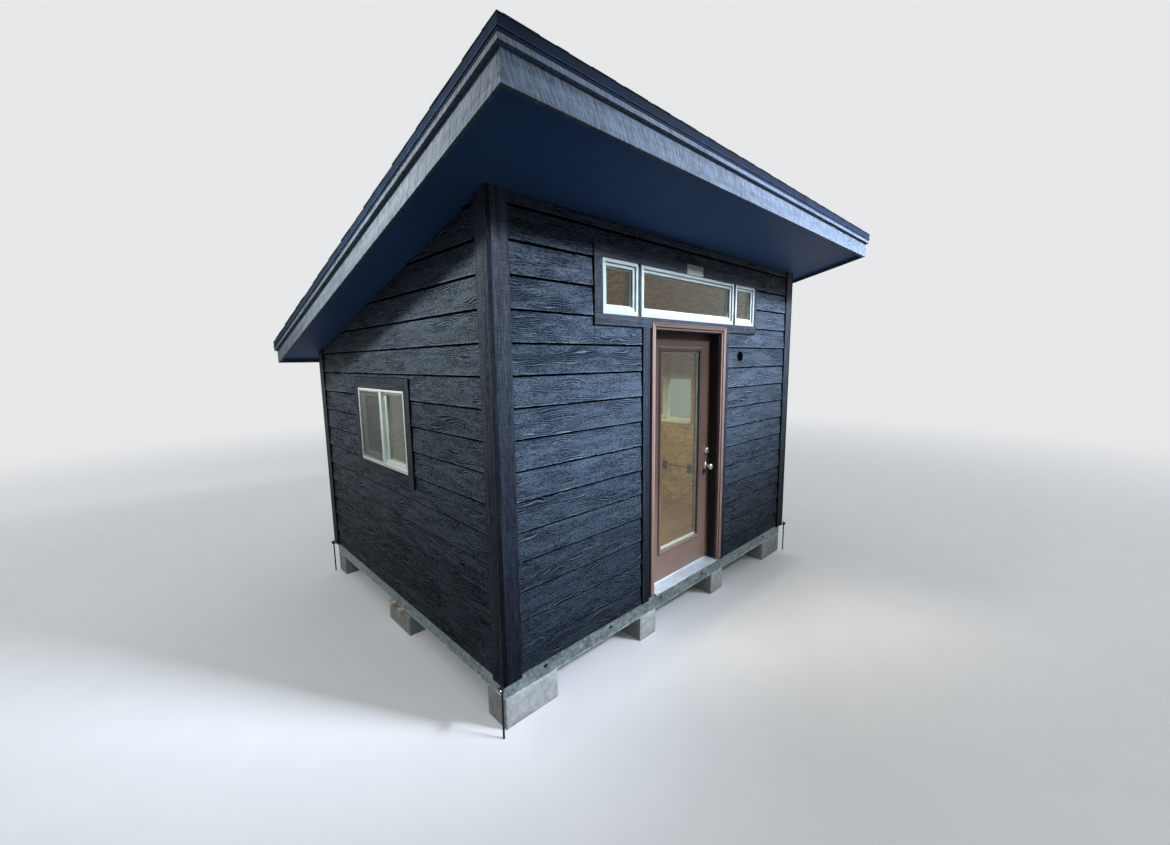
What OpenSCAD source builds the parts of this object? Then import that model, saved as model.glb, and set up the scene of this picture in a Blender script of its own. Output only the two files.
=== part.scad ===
// Garden office pod: a small single-slope building of 12 by 10 feet, clad in dark lap
// siding, with a high front wall, three transom windows over a full-glass door, a
// sliding window in each side wall, and a steel base frame on concrete blocks.
// X runs along the front wall, Y runs from the front to the back, Z is up. The origin
// lies on the ground under the middle of the roof's outline.

/* [Plan] */
// Width of the building over its sheathing
body_w = 3658; // [3000:10:4900]
// Depth of the building over its sheathing
body_d = 3048; // [2700:10:3700]
// Thickness of a wall: lining, stud and sheathing
wall_t = 111; // [95:1:180]
// Space left where two boards meet end to edge
board_gap = 0.5; // [0.3:0.1:3]

/* [Base] */
// Height of the concrete blocks
pier_h = 194; // [100:1:400]
// Length of a block
pier_l = 397; // [300:1:420]
// Width of a block
pier_w = 194; // [140:1:200]
// Height taken by the timber shims on the side blocks
shim_h = 38; // [15:1:60]
// Width of a shim
shim_w = 42; // [25:1:70]
// Distance of the side blocks' middle from the front trim face
side_pier_y = 1550; // [900:10:2000]
// Height of the steel base rails
rail_h = 114; // [80:1:200]
// Width of a rail's flanges
rail_flange = 50; // [30:1:70]
// Thickness of the rail's steel
rail_t = 3; // [2:0.5:6]
// Width of a floor joist's flanges
joist_flange = 41; // [30:1:60]
// Number of floor joists
joist_count = 5; // [3:1:9]
// Spacing of the slots in the rails
slot_pitch = 592; // [300:1:800]
// Length of a slot
slot_l = 26; // [15:1:40]
// Height of a slot
slot_h = 12; // [6:1:18]
// Height of the slots above the rail's foot
slot_rise = 66; // [25:1:90]
// Shift of the row of slots from the middle
slot_shift = -49; // [-100:1:100]
// Thickness of the floor deck
deck_t = 18; // [12:1:30]

/* [Siding and trim] */
// Thickness of the flat trim boards and corner boards
trim_t = 25.4; // [19:0.1:32]
// Height of siding that each lap leaves in view
lap_h = 177.8; // [100:0.1:250]
// Height of the lowest lap
first_lap_h = 151; // [90:1:250]
// Thickness of the siding at a lap's lower edge
siding_t = 18.5; // [10:0.5:19]
// Thickness of the siding where the next lap covers it
siding_top_t = 8.5; // [4:0.5:9]
// Height of the siding's lower edge above the base rails
siding_lift = 2; // [0:1:10]
// Gap between the siding's ends and the trim
end_gap = 6; // [0.5:0.5:12]
// How far the corner boards hang below the siding
corner_drop = 17; // [0:1:60]
// Width of a corner board on the side walls
side_corner_w = 114; // [80:1:150]
// Width of a corner board on the front and back walls
front_corner_w = 107; // [80:1:150]
// Width of the flat trim on the hinge side of the door and round the transoms
flat_trim_w = 75; // [50:1:85]
// Width of the narrower flat trim on the latch side
latch_trim_w = 48; // [35:1:60]
// Width of the flat trim's foot board under the transoms
band_h = 70; // [40:1:90]
// Width of the casing round the side windows
casing_w = 89; // [60:1:110]

/* [Roof] */
// Pitch of the roof in degrees
roof_pitch = 13.7; // [8:0.1:18]
// Height of the rafters' underside over the transoms, at the front trim face
head_room = 244; // [150:1:500]
// Reach of the front fascia's outer face past the front trim
front_overhang = 580; // [300:5:700]
// Reach of the other fascias past the trim
side_overhang = 288; // [150:1:450]
// Depth of a rafter
rafter_h = 140; // [90:1:235]
// Thickness of a rafter
rafter_w = 38; // [38:1:60]
// Number of rafters over the walls
rafter_count = 7; // [5:1:10]
// Thickness of the roof boards
roof_board_t = 15; // [11:1:22]
// Thickness of the shingle layer
shingle_t = 9; // [6:0.5:16]
// Length of roof that each shingle course covers
course_l = 144; // [100:1:300]
// Height of the step at a course's butt
course_step = 4; // [2:0.5:5]
// Reach of the shingles past the drip edge
shingle_lip = 5; // [2:1:15]
// Height of the fascia boards
fascia_h = 184; // [150:1:240]
// Thickness of the fascia boards
fascia_t = 19; // [15:1:30]
// Height of the upper fascia strip
strip_h = 63.5; // [40:0.5:80]
// Thickness of the upper fascia strip
strip_t = 20; // [12:1:30]
// Height of the metal drip edge's face
drip_h = 38; // [20:1:50]
// Width of the drip edge's leg on the roof boards
drip_leg = 60; // [30:1:90]
// Thickness of the drip edge's sheet
drip_t = 1.5; // [1:0.1:3]
// Thickness of the soffit and ceiling panels
soffit_t = 9.5; // [6:0.5:15]

/* [Door] */
// Width of the door slab
door_w = 910; // [760:1:960]
// Height of the door slab
door_h = 2001; // [1900:1:2010]
// Thickness of the door slab
door_t = 44; // [38:1:50]
// Gap between the door slab and its frame
door_gap = 5; // [5:0.5:8]
// Overlap of the frame's stop on the door slab
stop_lap = 7.5; // [6:0.5:12]
// Depth of the frame's stop
stop_d = 67; // [50:1:75]
// Thickness of the frame's jambs
jamb_t = 18; // [15:1:24]
// Depth of the frame's jambs
jamb_d = 116; // [110:1:190]
// Width of the moulding round the door
mould_w = 52; // [40:1:65]
// Thickness of the moulding round the door
mould_t = 32; // [26:1:40]
// Distance of the moulding's inner edge behind the frame's stop, on the sides
mould_set = 13; // [5:0.5:20]
// The same distance at the head
mould_head_set = 6.5; // [3:0.5:15]
// Width of the gap between the moulding and the flat trim on the hinge side
mould_reveal = 22; // [5:1:40]
// Width of the same gap on the latch side
latch_reveal = 10; // [3:1:30]
// Height of the threshold under the door
sill_h = 22; // [16:1:30]
// Height of the threshold's nose
nose_h = 6; // [4:0.5:12]
// Reach of the threshold's nose past the moulding
nose_reach = 2; // [0:0.5:10]
// Clearance under the door slab
sill_gap = 5; // [5:1:12]
// Width of the door's stiles beside its glass frame
stile_w = 158; // [110:1:220]
// Height of the door's rail over its glass frame
top_rail_h = 122; // [100:1:300]
// Width of the glass frame's moulding
lite_rim = 32; // [22:1:45]
// How far the glass frame stands out from the slab
lite_proud = 9; // [5:1:14]
// Height of the glass frame above the foot of the slab
lite_foot = 219; // [150:1:300]
// Height of the knob above the foot of the slab
knob_z = 842; // [800:1:950]
// Height of the deadbolt above the knob
bolt_above_knob = 140; // [110:1:180]
// Diameter of a knob
knob_d = 54; // [46:1:60]
// Reach of a knob from the slab
knob_l = 62; // [50:1:70]
// Diameter of the round plates behind the knobs and of the deadbolt
rose_d = 64; // [56:1:70]
// Distance of the knob from the edge of the slab
backset = 60; // [60:5:80]

/* [Windows] */
// Height of the transom windows
transom_h = 346; // [250:1:450]
// Height of the transom windows above the door's moulding
transom_lift = 26; // [5:1:80]
// Width of the middle transom window
transom_mid_w = 1264; // [1150:1:1500]
// Width of each outer transom window
transom_side_w = 347; // [250:1:380]
// Width of the gap between two transom windows
transom_gap = 34; // [20:1:60]
// Width of a transom frame's face
frame_face = 46; // [30:1:55]
// Height of a transom frame's lower face
frame_foot = 58; // [30:1:70]
// Width of a side window frame's face
side_face = 34; // [24:1:45]
// Height of a side window frame's lower face
side_foot = 52; // [24:1:70]
// How far a glazing bead lies behind its frame's face
bead_set = 12; // [6:1:20]
// Depth of a window frame
frame_d = 70; // [55:1:90]
// Width of a side window
window_w = 908; // [700:1:1200]
// Height of a side window
window_h = 600; // [450:1:700]
// Height of the side windows above the siding's lower edge
window_z = 1030; // [700:1:1080]
// Distance of the side windows' middle from the front trim face
window_y = 1585; // [1300:1:1800]
// Width of the upright between a side window's two panes
stile_face = 38; // [30:1:60]
// Width of the fixed pane's own stile beside that upright
sash_face = 27; // [20:1:50]
// How far the fixed pane lies behind the frame's face
sash_set = 29; // [18:1:36]
// How far an insect screen lies behind the frame's face
screen_set = 2; // [0.5:0.5:4]
// Thickness of an insect screen
screen_t = 8; // [3:1:10]
// Depth of the fixed pane's own rim
sash_d = 26; // [18:1:34]
// Thickness of a glass unit
glass_t = 18; // [12:1:24]

/* [Hardware] */
// Diameter of the round wall port
port_d = 100; // [60:1:120]
// Distance of the wall port from the middle of the front wall
port_x = 793; // [750:1:900]
// Distance of the wall port's axis below the top of the door
port_drop = 197; // [100:1:500]
// Thickness of the wall port's tube
port_t = 4; // [2:0.5:8]
// Depth of the wall port's cap behind its rim
port_recess = 56; // [20:1:80]
// Thickness of the wall port's cap
port_cap_t = 6; // [3:0.5:12]
// Diameter of the anchor rods
rod_d = 12; // [10:1:20]
// Height of the anchor rods' tops above the siding's lower edge
rod_top = 16; // [10:1:120]
// Distance of the anchor rods' axes past the side trim
anchor_out = 18; // [15:1:40]
// Distance of the front anchor rods' axes before the front trim
anchor_ahead = 10; // [0:1:20]
// Distance of the back anchor rods' axes before the back trim's face
anchor_behind = 32; // [28:1:60]
// Thickness of the arm that holds an anchor rod
arm_t = 5; // [3:0.5:8]
// Height of the clamp on an anchor rod
clamp_h = 26; // [15:1:40]
// Thickness of the strap round an anchor rod
strap_t = 5; // [3:0.5:8]
// Diameter of the hinge pins
pin_d = 8; // [6:0.5:10]
// Play between a hinge pin and its knuckles, all round
pin_play = 0.08; // [0.02:0.02:0.1]
// Height of a hinge
hinge_h = 102; // [76:1:115]
// Height of the lowest hinge above the foot of the slab
hinge_foot = 250; // [150:5:300]
// Distance of the highest hinge's foot below the top of the slab
hinge_head = 280; // [150:5:300]
// Width of a hinge leaf
leaf_w = 32; // [25:1:38]
// Thickness of a hinge leaf
leaf_t = 2; // [1.5:0.1:2.2]

/* [Hidden] */

$fn = 48;
eps = 0.01;
seat = 0.3;

// Plan lines, measured from the middle of the front wall's trim face
half_w = body_w / 2;
trim_half = half_w + trim_t;
front_y = trim_t;
back_y = front_y + body_d;
back_trim = back_y + trim_t;
inner_half = half_w - wall_t;
inner_front = front_y + wall_t;
inner_back = back_y - wall_t;
slope = tan(roof_pitch);
steep = 1 / cos(roof_pitch);

// Levels above the ground
rail_top = pier_h + rail_h;
deck_top = rail_top + deck_t;
siding_z = rail_top + siding_lift;

// Outer faces of the roof's edge pieces
fascia_x = trim_half + side_overhang;
fascia_y0 = -front_overhang;
fascia_y1 = back_trim + side_overhang;
strip_x = fascia_x + strip_t;
strip_y0 = fascia_y0 - strip_t;
strip_y1 = fascia_y1 + strip_t;
drip_x = strip_x + drip_t;
drip_y0 = strip_y0 - drip_t;
drip_y1 = strip_y1 + drip_t;
roof_x = drip_x + shingle_lip;
roof_y0 = drip_y0 - shingle_lip;
roof_y1 = drip_y1 + shingle_lip;
plan_mid_y = (roof_y0 + roof_y1) / 2;

// Door opening
door_z = deck_top + sill_h + sill_gap;
door_top = door_z + door_h;
lite_w = door_w - 2 * stile_w;
lite_h = door_h - lite_foot - top_rail_h;
jamb_in = door_w / 2 + door_gap;
jamb_out = jamb_in + jamb_t;
stop_in = door_w / 2 - stop_lap;
head_in = door_top + door_gap;
head_stop = door_top - stop_lap;
head_out = head_in + jamb_t;
slab_y0 = front_y + jamb_d - door_t;
slab_y1 = front_y + jamb_d;
mould_in = stop_in + mould_set;
mould_out = mould_in + mould_w;
mould_top = head_stop + mould_head_set + mould_w;
flat_in = mould_out + mould_reveal;
flat_out = flat_in + flat_trim_w;
latch_in = mould_out + latch_reveal;
latch_out = latch_in + latch_trim_w;
nose_y = front_y - mould_t - nose_reach;

// Transom windows, and the levels that follow from them
transom_foot = mould_top + transom_lift;
transom_top = transom_foot + transom_h;
mid_half = transom_mid_w / 2;
side_in = mid_half + transom_gap;
side_out = side_in + transom_side_w;
hinge_band = side_out + flat_trim_w;
latch_band = side_out + latch_trim_w;
band_foot = transom_foot - band_h;
band_top = transom_top + flat_trim_w;
head_split = head_out + seat;
port_z = door_top - port_drop;

// Roof: height of the rafters' underside at the front trim face, and the layers above
// and below it, measured straight up
eave_z = transom_top + head_room;
soffit_low = -soffit_t * steep - seat;
rafter_top = rafter_h * steep;
board_low = rafter_top + seat;
board_top = board_low + roof_board_t * steep;
drip_low = board_top + seat;
drip_top = drip_low + drip_t * steep;
shingle_low = drip_top + seat;
shingle_top = shingle_low + shingle_t * steep;
wall_head = soffit_low - seat;

// Side windows
win_foot = siding_z + window_z;
win_top = win_foot + window_h;
win_y0 = window_y - window_w / 2;
win_y1 = window_y + window_w / 2;
upright_y0 = window_y - stile_face;
upright_y1 = window_y;

// Hinge axis and heights
axis_x = -door_w / 2 - door_gap / 2;
knuckle_r = pin_d / 2 + 3;
axis_y = slab_y1 + knuckle_r + 0.5;
hinge_z = [door_z + hinge_foot, door_z + door_h / 2, door_top - hinge_head];

// Underside of the rafters at a given distance from the front trim face
function rafter_z(y) = eave_z - y * slope;

// Puts the building's plan on the origin
module in_place() {
    translate([0, -plan_mid_y, 0]) children();
}

// A block between two corners
module block(low, high) {
    translate(low) cube(high - low);
}

// The same block on both sides of the middle
module pair(low, high) {
    block(low, high);
    mirror([1, 0, 0]) block(low, high);
}

// A length along X whose outline lies in the Y and Z plane
module along_x(x0, x1) {
    translate([x0, 0, 0]) rotate([90, 0, 90]) linear_extrude(x1 - x0) children();
}

// A sloping board: from x0 to x1, from y0 to y1, and from low to high above the
// rafters' underside, with plumb ends
module sloping(x0, x1, y0, y1, low, high) {
    along_x(x0, x1) polygon([
        [y0, rafter_z(y0) + low], [y1, rafter_z(y1) + low],
        [y1, rafter_z(y1) + high], [y0, rafter_z(y0) + high]]);
}

// Places a piece as seen from outside a side wall, on the left and on the right
module both_sides() {
    children();
    mirror([1, 0, 0]) children();
}

// A rectangular frame in the X and Z plane, faces from y0 to y1
module ring_xz(x0, x1, z0, z1, rim, y0, y1) {
    difference() {
        block([x0, y0, z0], [x1, y1, z1]);
        block([x0 + rim, y0 - 1, z0 + rim], [x1 - rim, y1 + 1, z1 - rim]);
    }
}

module concrete_blocks() {
    long_x = half_w - pier_l;
    mid_x = body_w / 7.2;
    color("darkgray") in_place() {
        for (y = [front_y, back_y - pier_w]) pair([long_x, y, 0], [half_w, y + pier_w, pier_h]);
        for (y = [front_y, back_y - pier_l])
            pair([mid_x - pier_w / 2, y, 0], [mid_x + pier_w / 2, y + pier_l, pier_h]);
        pair([half_w - pier_w, side_pier_y - pier_l / 2, 0],
            [half_w, side_pier_y + pier_l / 2, pier_h - shim_h]);
    }
}

// Pairs of wedges driven in from both sides, so that the rail lies on a level face
module block_shims() {
    run = pier_w + shim_w / 2;
    thin = shim_h / 10;
    fall = (shim_h - 2 * thin) / run;
    out = shim_w * 0.8;
    color("burlywood") in_place() both_sides() for (side = [-1, 1])
        translate([-half_w - out, side_pier_y + shim_w / 2 + side * pier_l / 5, pier_h - shim_h])
            rotate([90, 0, 0]) linear_extrude(shim_w) {
                polygon([[0, 0], [run, 0], [run, thin], [0, shim_h - thin]]);
                polygon([[out, shim_h - thin - out * fall], [run, thin], [run + out, shim_h - thin],
                    [run + out, shim_h], [out, shim_h]]);
            }
}

// Outline of a channel that opens towards +Y, its web on the Y axis
module channel(h, flange, t) {
    difference() {
        square([flange, h]);
        translate([t, t]) square([flange, h - 2 * t]);
    }
}

// Base frame: the side rails run through and the front and back rails fit between
// their webs; the front and back rails are slotted
module base_rails() {
    inside = half_w - rail_t - seat;
    cope = rail_flange + seat;
    slots = floor(body_w / slot_pitch / 2);
    color("lightslategray") in_place() {
        difference() {
            union() {
                along_x(-inside, inside) translate([front_y, pier_h])
                    channel(rail_h, rail_flange, rail_t);
                along_x(-inside, inside) translate([back_y, pier_h]) mirror([1, 0])
                    channel(rail_h, rail_flange, rail_t);
            }
            for (k = [-slots:slots - 1], y = [front_y - 1, back_y - rail_t - 1])
                translate([(k + 0.5) * slot_pitch + slot_shift, y, pier_h + slot_rise])
                    block([-slot_l / 2, 0, -slot_h / 2], [slot_l / 2, rail_t + 2, slot_h / 2]);
        }
        both_sides() difference() {
            translate([-half_w, back_y, pier_h]) rotate([90, 0, 0])
                linear_extrude(body_d) channel(rail_h, rail_flange, rail_t);
            for (y = [front_y - 1, back_y - cope])
                block([-half_w + rail_t, y, pier_h - 1],
                    [-half_w + rail_flange + 1, y + cope + 1, rail_top + 1]);
        }
    }
}

module floor_joists() {
    pitch = body_w / (joist_count + 1);
    depth = rail_h - 2 * rail_t - 2 * seat;
    color("lightsteelblue") in_place() for (i = [1:joist_count])
        translate([-half_w + i * pitch - joist_flange / 2, back_y - rail_t - seat,
                pier_h + rail_t + seat])
            rotate([90, 0, 0]) linear_extrude(body_d - 2 * rail_t - 2 * seat)
                channel(depth, joist_flange, 2);
}

module floor_deck() {
    color("peru") in_place()
        block([-half_w, front_y, rail_top], [half_w, back_y, deck_top]);
}

module front_wall_left() {
    color("tan") in_place()
        block([-half_w, front_y, deck_top], [-jamb_out - seat, inner_front, head_split]);
}

module front_wall_right() {
    color("tan") in_place() difference() {
        block([jamb_out + seat, front_y, deck_top], [half_w, inner_front, head_split]);
        translate([port_x, front_y - 1, port_z]) rotate([-90, 0, 0])
            cylinder(d = port_d + 2 * seat, h = wall_t + 2);
    }
}

// The head of the front wall: a rail under the transoms, posts between them and a
// beam over them that reaches up to the rafters
module front_wall_head() {
    z0 = transom_foot - seat;
    z1 = transom_top + seat;
    color("tan") in_place() {
        block([-half_w, front_y, head_split], [half_w, inner_front, z0]);
        both_sides() {
            block([mid_half + seat, front_y, z0 + seat], [side_in - seat, inner_front, z1 - seat]);
            block([side_out + seat, front_y, z0 + seat], [half_w, inner_front, z1 - seat]);
        }
        along_x(-half_w, half_w) polygon([
            [front_y, z1], [inner_front, z1],
            [inner_front, rafter_z(inner_front) - seat], [front_y, rafter_z(front_y) - seat]]);
    }
}

// A plain slab of a side wall: between two lines in plan, from a level to the rafters
module side_slab(y0, y1, z0) {
    along_x(-half_w, -inner_half) polygon([
        [y0, z0], [y1, z0], [y1, rafter_z(y1) - seat], [y0, rafter_z(y0) - seat]]);
}

// A side wall in slabs before, behind, below and above its window
module side_wall() {
    side_slab(inner_front + seat, win_y0 - seat, deck_top);
    side_slab(win_y1 + seat, inner_back - seat, deck_top);
    side_slab(win_y0, win_y1, win_top + seat);
    block([-half_w, win_y0, deck_top], [-inner_half, win_y1, win_foot - seat]);
}

module left_wall() {
    color("tan") in_place() side_wall();
}

module right_wall() {
    color("tan") in_place() mirror([1, 0, 0]) side_wall();
}

module back_wall() {
    color("tan") in_place() along_x(-half_w, half_w) polygon([
        [inner_back, deck_top], [back_y, deck_top],
        [back_y, rafter_z(back_y) - seat], [inner_back, rafter_z(inner_back) - seat]]);
}

// Outline of lap siding across a wall: the sheathing on the Y axis, the laps towards -X
// and the first lap's lower edge at the origin. Each lap leans out to its lower edge.
module lap_profile(high) {
    laps = ceil((high - first_lap_h) / lap_h) + 1;
    foot = function(k) k == 0 ? 0 : first_lap_h + (k - 1) * lap_h;
    faces = [for (k = [0:laps - 1]) each [[-siding_t, foot(k)], [-siding_top_t, foot(k + 1)]]];
    polygon([[0, 0], each faces, [0, foot(laps)]]);
}

module siding_front() {
    edge = half_w - front_corner_w - end_gap;
    cut_y = front_y - siding_t - 1;
    high = rafter_z(front_y) + wall_head - siding_z;
    color("darkslategray") in_place() difference() {
        translate([0, front_y, siding_z]) along_x(-edge, edge) intersection() {
            lap_profile(high);
            polygon([[-siding_t, 0], [0, 0], [0, high], [-siding_t, high + siding_t * slope]]);
        }
        block([-flat_out - end_gap, cut_y, siding_z - 1],
            [latch_out + end_gap, front_y + 1, band_foot + 1]);
        block([-hinge_band - end_gap, cut_y, band_foot - board_gap],
            [latch_band + end_gap, front_y + 1, band_top + board_gap]);
        translate([port_x, cut_y, port_z]) rotate([-90, 0, 0])
            cylinder(d = port_d + 2 * seat, h = siding_t + 2);
    }
}

// Siding of the left wall, cut along the soffit and round the window's casing
module side_siding() {
    y0 = side_corner_w + end_gap;
    y1 = back_trim - side_corner_w - end_gap;
    room = casing_w + board_gap;
    side_room = casing_w + end_gap;
    high = rafter_z(y0) + wall_head - siding_z;
    difference() {
        intersection() {
            translate([-half_w, y1, siding_z]) rotate([90, 0, 0]) linear_extrude(y1 - y0)
                lap_profile(high);
            along_x(-half_w - siding_t - 1, -half_w + 1) polygon([
                [y0, siding_z], [y1, siding_z],
                [y1, rafter_z(y1) + wall_head], [y0, rafter_z(y0) + wall_head]]);
        }
        block([-half_w - siding_t - 1, win_y0 - side_room, win_foot - room],
            [-half_w + 1, win_y1 + side_room, win_top + room]);
    }
}

module siding_left() {
    color("dimgray") in_place() side_siding();
}

module siding_right() {
    color("dimgray") in_place() mirror([1, 0, 0]) side_siding();
}

module siding_back() {
    edge = half_w - front_corner_w - end_gap;
    high = rafter_z(back_y + siding_t) + wall_head - siding_z;
    color("dimgray") in_place() translate([0, back_y, siding_z]) mirror([0, 1, 0])
        along_x(-edge, edge) intersection() {
            lap_profile(high);
            polygon([[-siding_t, 0], [0, 0], [0, high + siding_t * slope], [-siding_t, high]]);
        }
}

// Two boards on each corner: the side board laps over the end of the other
module corner_boards() {
    foot = siding_z - corner_drop;
    color("slategray") in_place() both_sides() {
        for (y = [0, back_trim - side_corner_w]) along_x(-trim_half, -half_w) polygon([
            [y, foot], [y + side_corner_w, foot],
            [y + side_corner_w, rafter_z(y + side_corner_w) + wall_head],
            [y, rafter_z(y) + wall_head]]);
        for (y = [0, back_y]) along_x(-half_w + board_gap, -half_w + front_corner_w) polygon([
            [y, foot], [y + trim_t, foot],
            [y + trim_t, rafter_z(y + trim_t) + wall_head], [y, rafter_z(y) + wall_head]]);
    }
}

// Flat boards beside the door and round the transoms
module front_trim() {
    foot = transom_foot - seat;
    color("slategray") in_place() {
        block([-flat_out, 0, siding_z], [-flat_in, front_y, band_foot - board_gap]);
        block([latch_in, 0, siding_z], [latch_out, front_y, band_foot - board_gap]);
        block([-hinge_band, 0, band_foot], [-mould_out - board_gap, front_y, foot]);
        block([mould_out + board_gap, 0, band_foot], [latch_band, front_y, foot]);
        block([-mould_out, 0, mould_top + seat], [mould_out, front_y, foot]);
        block([-hinge_band, 0, foot + board_gap], [-side_out - seat, front_y, transom_top]);
        block([side_out + seat, 0, foot + board_gap], [latch_band, front_y, transom_top]);
        block([-hinge_band, 0, transom_top + seat], [latch_band, front_y, band_top]);
    }
}

module window_casings() {
    y0 = win_y0 - casing_w;
    y1 = win_y1 + casing_w;
    z0 = win_foot - casing_w;
    z1 = win_top + casing_w;
    color("slategray") in_place() both_sides() {
        block([-trim_half, y0, z0], [-half_w, win_y0 - seat, z1]);
        block([-trim_half, win_y1 + seat, z0], [-half_w, y1, z1]);
        block([-trim_half, win_y0, z0], [-half_w, win_y1, win_foot - seat]);
        block([-trim_half, win_y0, win_top + seat], [-half_w, win_y1, z1]);
    }
}

// A window frame in the X and Z plane with a stepped face: the outer rim in front and
// the glazing bead set back. Its face is as wide as face, and as foot along its lower side.
module stepped_frame(x0, x1, z0, z1, face, foot) {
    difference() {
        block([x0, 0, z0], [x1, frame_d, z1]);
        block([x0 + face, -1, z0 + foot], [x1 - face, frame_d + 1, z1 - face]);
        block([x0 + face / 2, -1, z0 + foot / 2], [x1 - face / 2, bead_set, z1 - face / 2]);
    }
}

// The three transom openings, each as its left and right edge
transoms = [[-side_out, -side_in], [-mid_half, mid_half], [side_in, side_out]];

module transom_frames() {
    color("white") in_place() for (t = transoms)
        stepped_frame(t[0], t[1], transom_foot, transom_top, frame_face, frame_foot);
}

module transom_glass() {
    rim = frame_face + seat;
    y0 = frame_d / 2 - glass_t / 2;
    color("lightblue", 0.5) in_place() for (t = transoms)
        block([t[0] + rim, y0, transom_foot + frame_foot + seat],
            [t[1] - rim, y0 + glass_t, transom_top - rim]);
}

// Turns a piece made in the X and Z plane, with its front at y = 0, into the left wall
module on_left_wall() {
    translate([-trim_half, 0, 0]) rotate([0, 0, -90]) mirror([1, 0, 0]) children();
}

// The outer frame of a side window, with the upright between its two panes
module window_frames() {
    color("white") in_place() both_sides() on_left_wall() {
        stepped_frame(win_y0, win_y1, win_foot, win_top, side_face, side_foot);
        block([upright_y0, 0, win_foot + side_foot / 2], [upright_y1, frame_d, win_top - side_face / 2]);
    }
}

// The fixed pane's own rim, set back in the half of the window nearer the front
module window_sashes() {
    bead = sash_face / 3;
    z0 = win_foot + side_foot + seat;
    z1 = win_top - side_face - seat;
    color("whitesmoke") in_place() both_sides() on_left_wall() difference() {
        block([win_y0 + side_face + seat, sash_set, z0],
            [upright_y0 - seat, sash_set + sash_d, z1]);
        block([win_y0 + side_face + bead, sash_set - 1, z0 + bead],
            [upright_y0 - sash_face, sash_set + sash_d + 1, z1 - bead]);
    }
}

module window_glass() {
    bead = sash_face / 3 + seat;
    z0 = win_foot + side_foot + seat;
    z1 = win_top - side_face - seat;
    color("lightblue", 0.5) in_place() both_sides() on_left_wall() {
        block([win_y0 + side_face + bead, sash_set + 5, z0 + bead],
            [upright_y0 - sash_face - seat, sash_set + 5 + glass_t, z1 - bead]);
        block([upright_y1 + seat, sash_set, z0],
            [win_y1 - side_face - seat, sash_set + glass_t, z1]);
    }
}

// Insect screen over the sliding half, in the recess of the frame's stepped face
module window_screens() {
    rim = side_face / 2 + seat;
    color("gray", 0.5) in_place() both_sides() on_left_wall()
        block([upright_y1 + seat, screen_set, win_foot + side_foot / 2 + seat],
            [win_y1 - rim, screen_set + screen_t, win_top - rim]);
}

// Outline in plan of a rabbeted jamb on the left of the door
module jamb_plan() {
    polygon([[-jamb_out, front_y], [-stop_in, front_y], [-stop_in, front_y + stop_d],
        [-jamb_in, front_y + stop_d], [-jamb_in, slab_y1], [-jamb_out, slab_y1]]);
}

module door_jambs() {
    foot = deck_top;
    color("saddlebrown") in_place() {
        both_sides() translate([0, 0, foot]) linear_extrude(head_stop - seat - foot)
            jamb_plan();
        along_x(-jamb_out, jamb_out) polygon([
            [front_y, head_out], [front_y, head_stop], [front_y + stop_d, head_stop],
            [front_y + stop_d, head_in], [slab_y1, head_in], [slab_y1, head_out]]);
    }
}

// Moulding round the door, in two legs and a head. Its face is drawn from the outer edge
// inwards, each point as a share of its width and of its thickness: a round arris, a
// shallow groove, a flat band, a cove and a step.
module door_moulding() {
    mould_line = [[0, 1], [0, 0.125], [0.017, 0.05], [0.031, 0.028], [0.077, 0], [0.21, 0],
        [0.24, 0.069], [0.28, 0.094], [0.317, 0.069], [0.346, 0.013], [0.577, 0.013],
        [0.619, 0.034], [0.65, 0.088], [0.663, 0.156], [0.673, 0.25], [0.702, 0.319],
        [0.75, 0.344], [0.942, 0.344], [0.973, 0.369], [0.992, 0.413], [1, 0.469], [1, 1]];
    foot = deck_top + nose_h + seat;
    split = mould_top - mould_w;
    y0 = front_y - mould_t;
    color("sienna") in_place() {
        both_sides() translate([0, 0, foot]) linear_extrude(split - foot - board_gap)
            polygon([for (p = mould_line) [mould_out - p[0] * mould_w, y0 + p[1] * mould_t]]);
        along_x(-mould_out, mould_out)
            polygon([for (p = mould_line) [y0 + p[1] * mould_t, mould_top - p[0] * mould_w]]);
    }
}

// Threshold: a sloping sill between the jambs with a nose under the moulding
module door_threshold() {
    color("silver") in_place() {
        along_x(-stop_in + seat, stop_in - seat) polygon([
            [nose_y, deck_top], [slab_y1, deck_top], [slab_y1, deck_top + sill_h],
            [slab_y0 + 4, deck_top + sill_h], [slab_y0 - 6, deck_top + sill_h - 8],
            [nose_y, deck_top + nose_h]]);
    }
}

// A hinge leaf that reaches from the axis back along the slab's edge
module leaf(x0) {
    block([x0, slab_y1 - leaf_w, 0], [x0 + leaf_t, axis_y - pin_d / 2 - 1, hinge_h]);
}

// The jamb's half of each hinge: a leaf, the two outer knuckles and the pin
module frame_hinges() {
    third = hinge_h / 3;
    color("silver") in_place() for (z = hinge_z) translate([0, 0, z]) {
        difference() {
            union() {
                leaf(-jamb_in);
                for (k = [0, 2]) translate([axis_x, axis_y, k * third])
                    cylinder(r = knuckle_r, h = third - seat);
            }
            translate([axis_x, axis_y, third - seat]) cylinder(r = knuckle_r + 1, h = third + seat);
        }
        translate([axis_x, axis_y, 0]) cylinder(d = pin_d, h = hinge_h);
    }
}

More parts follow.
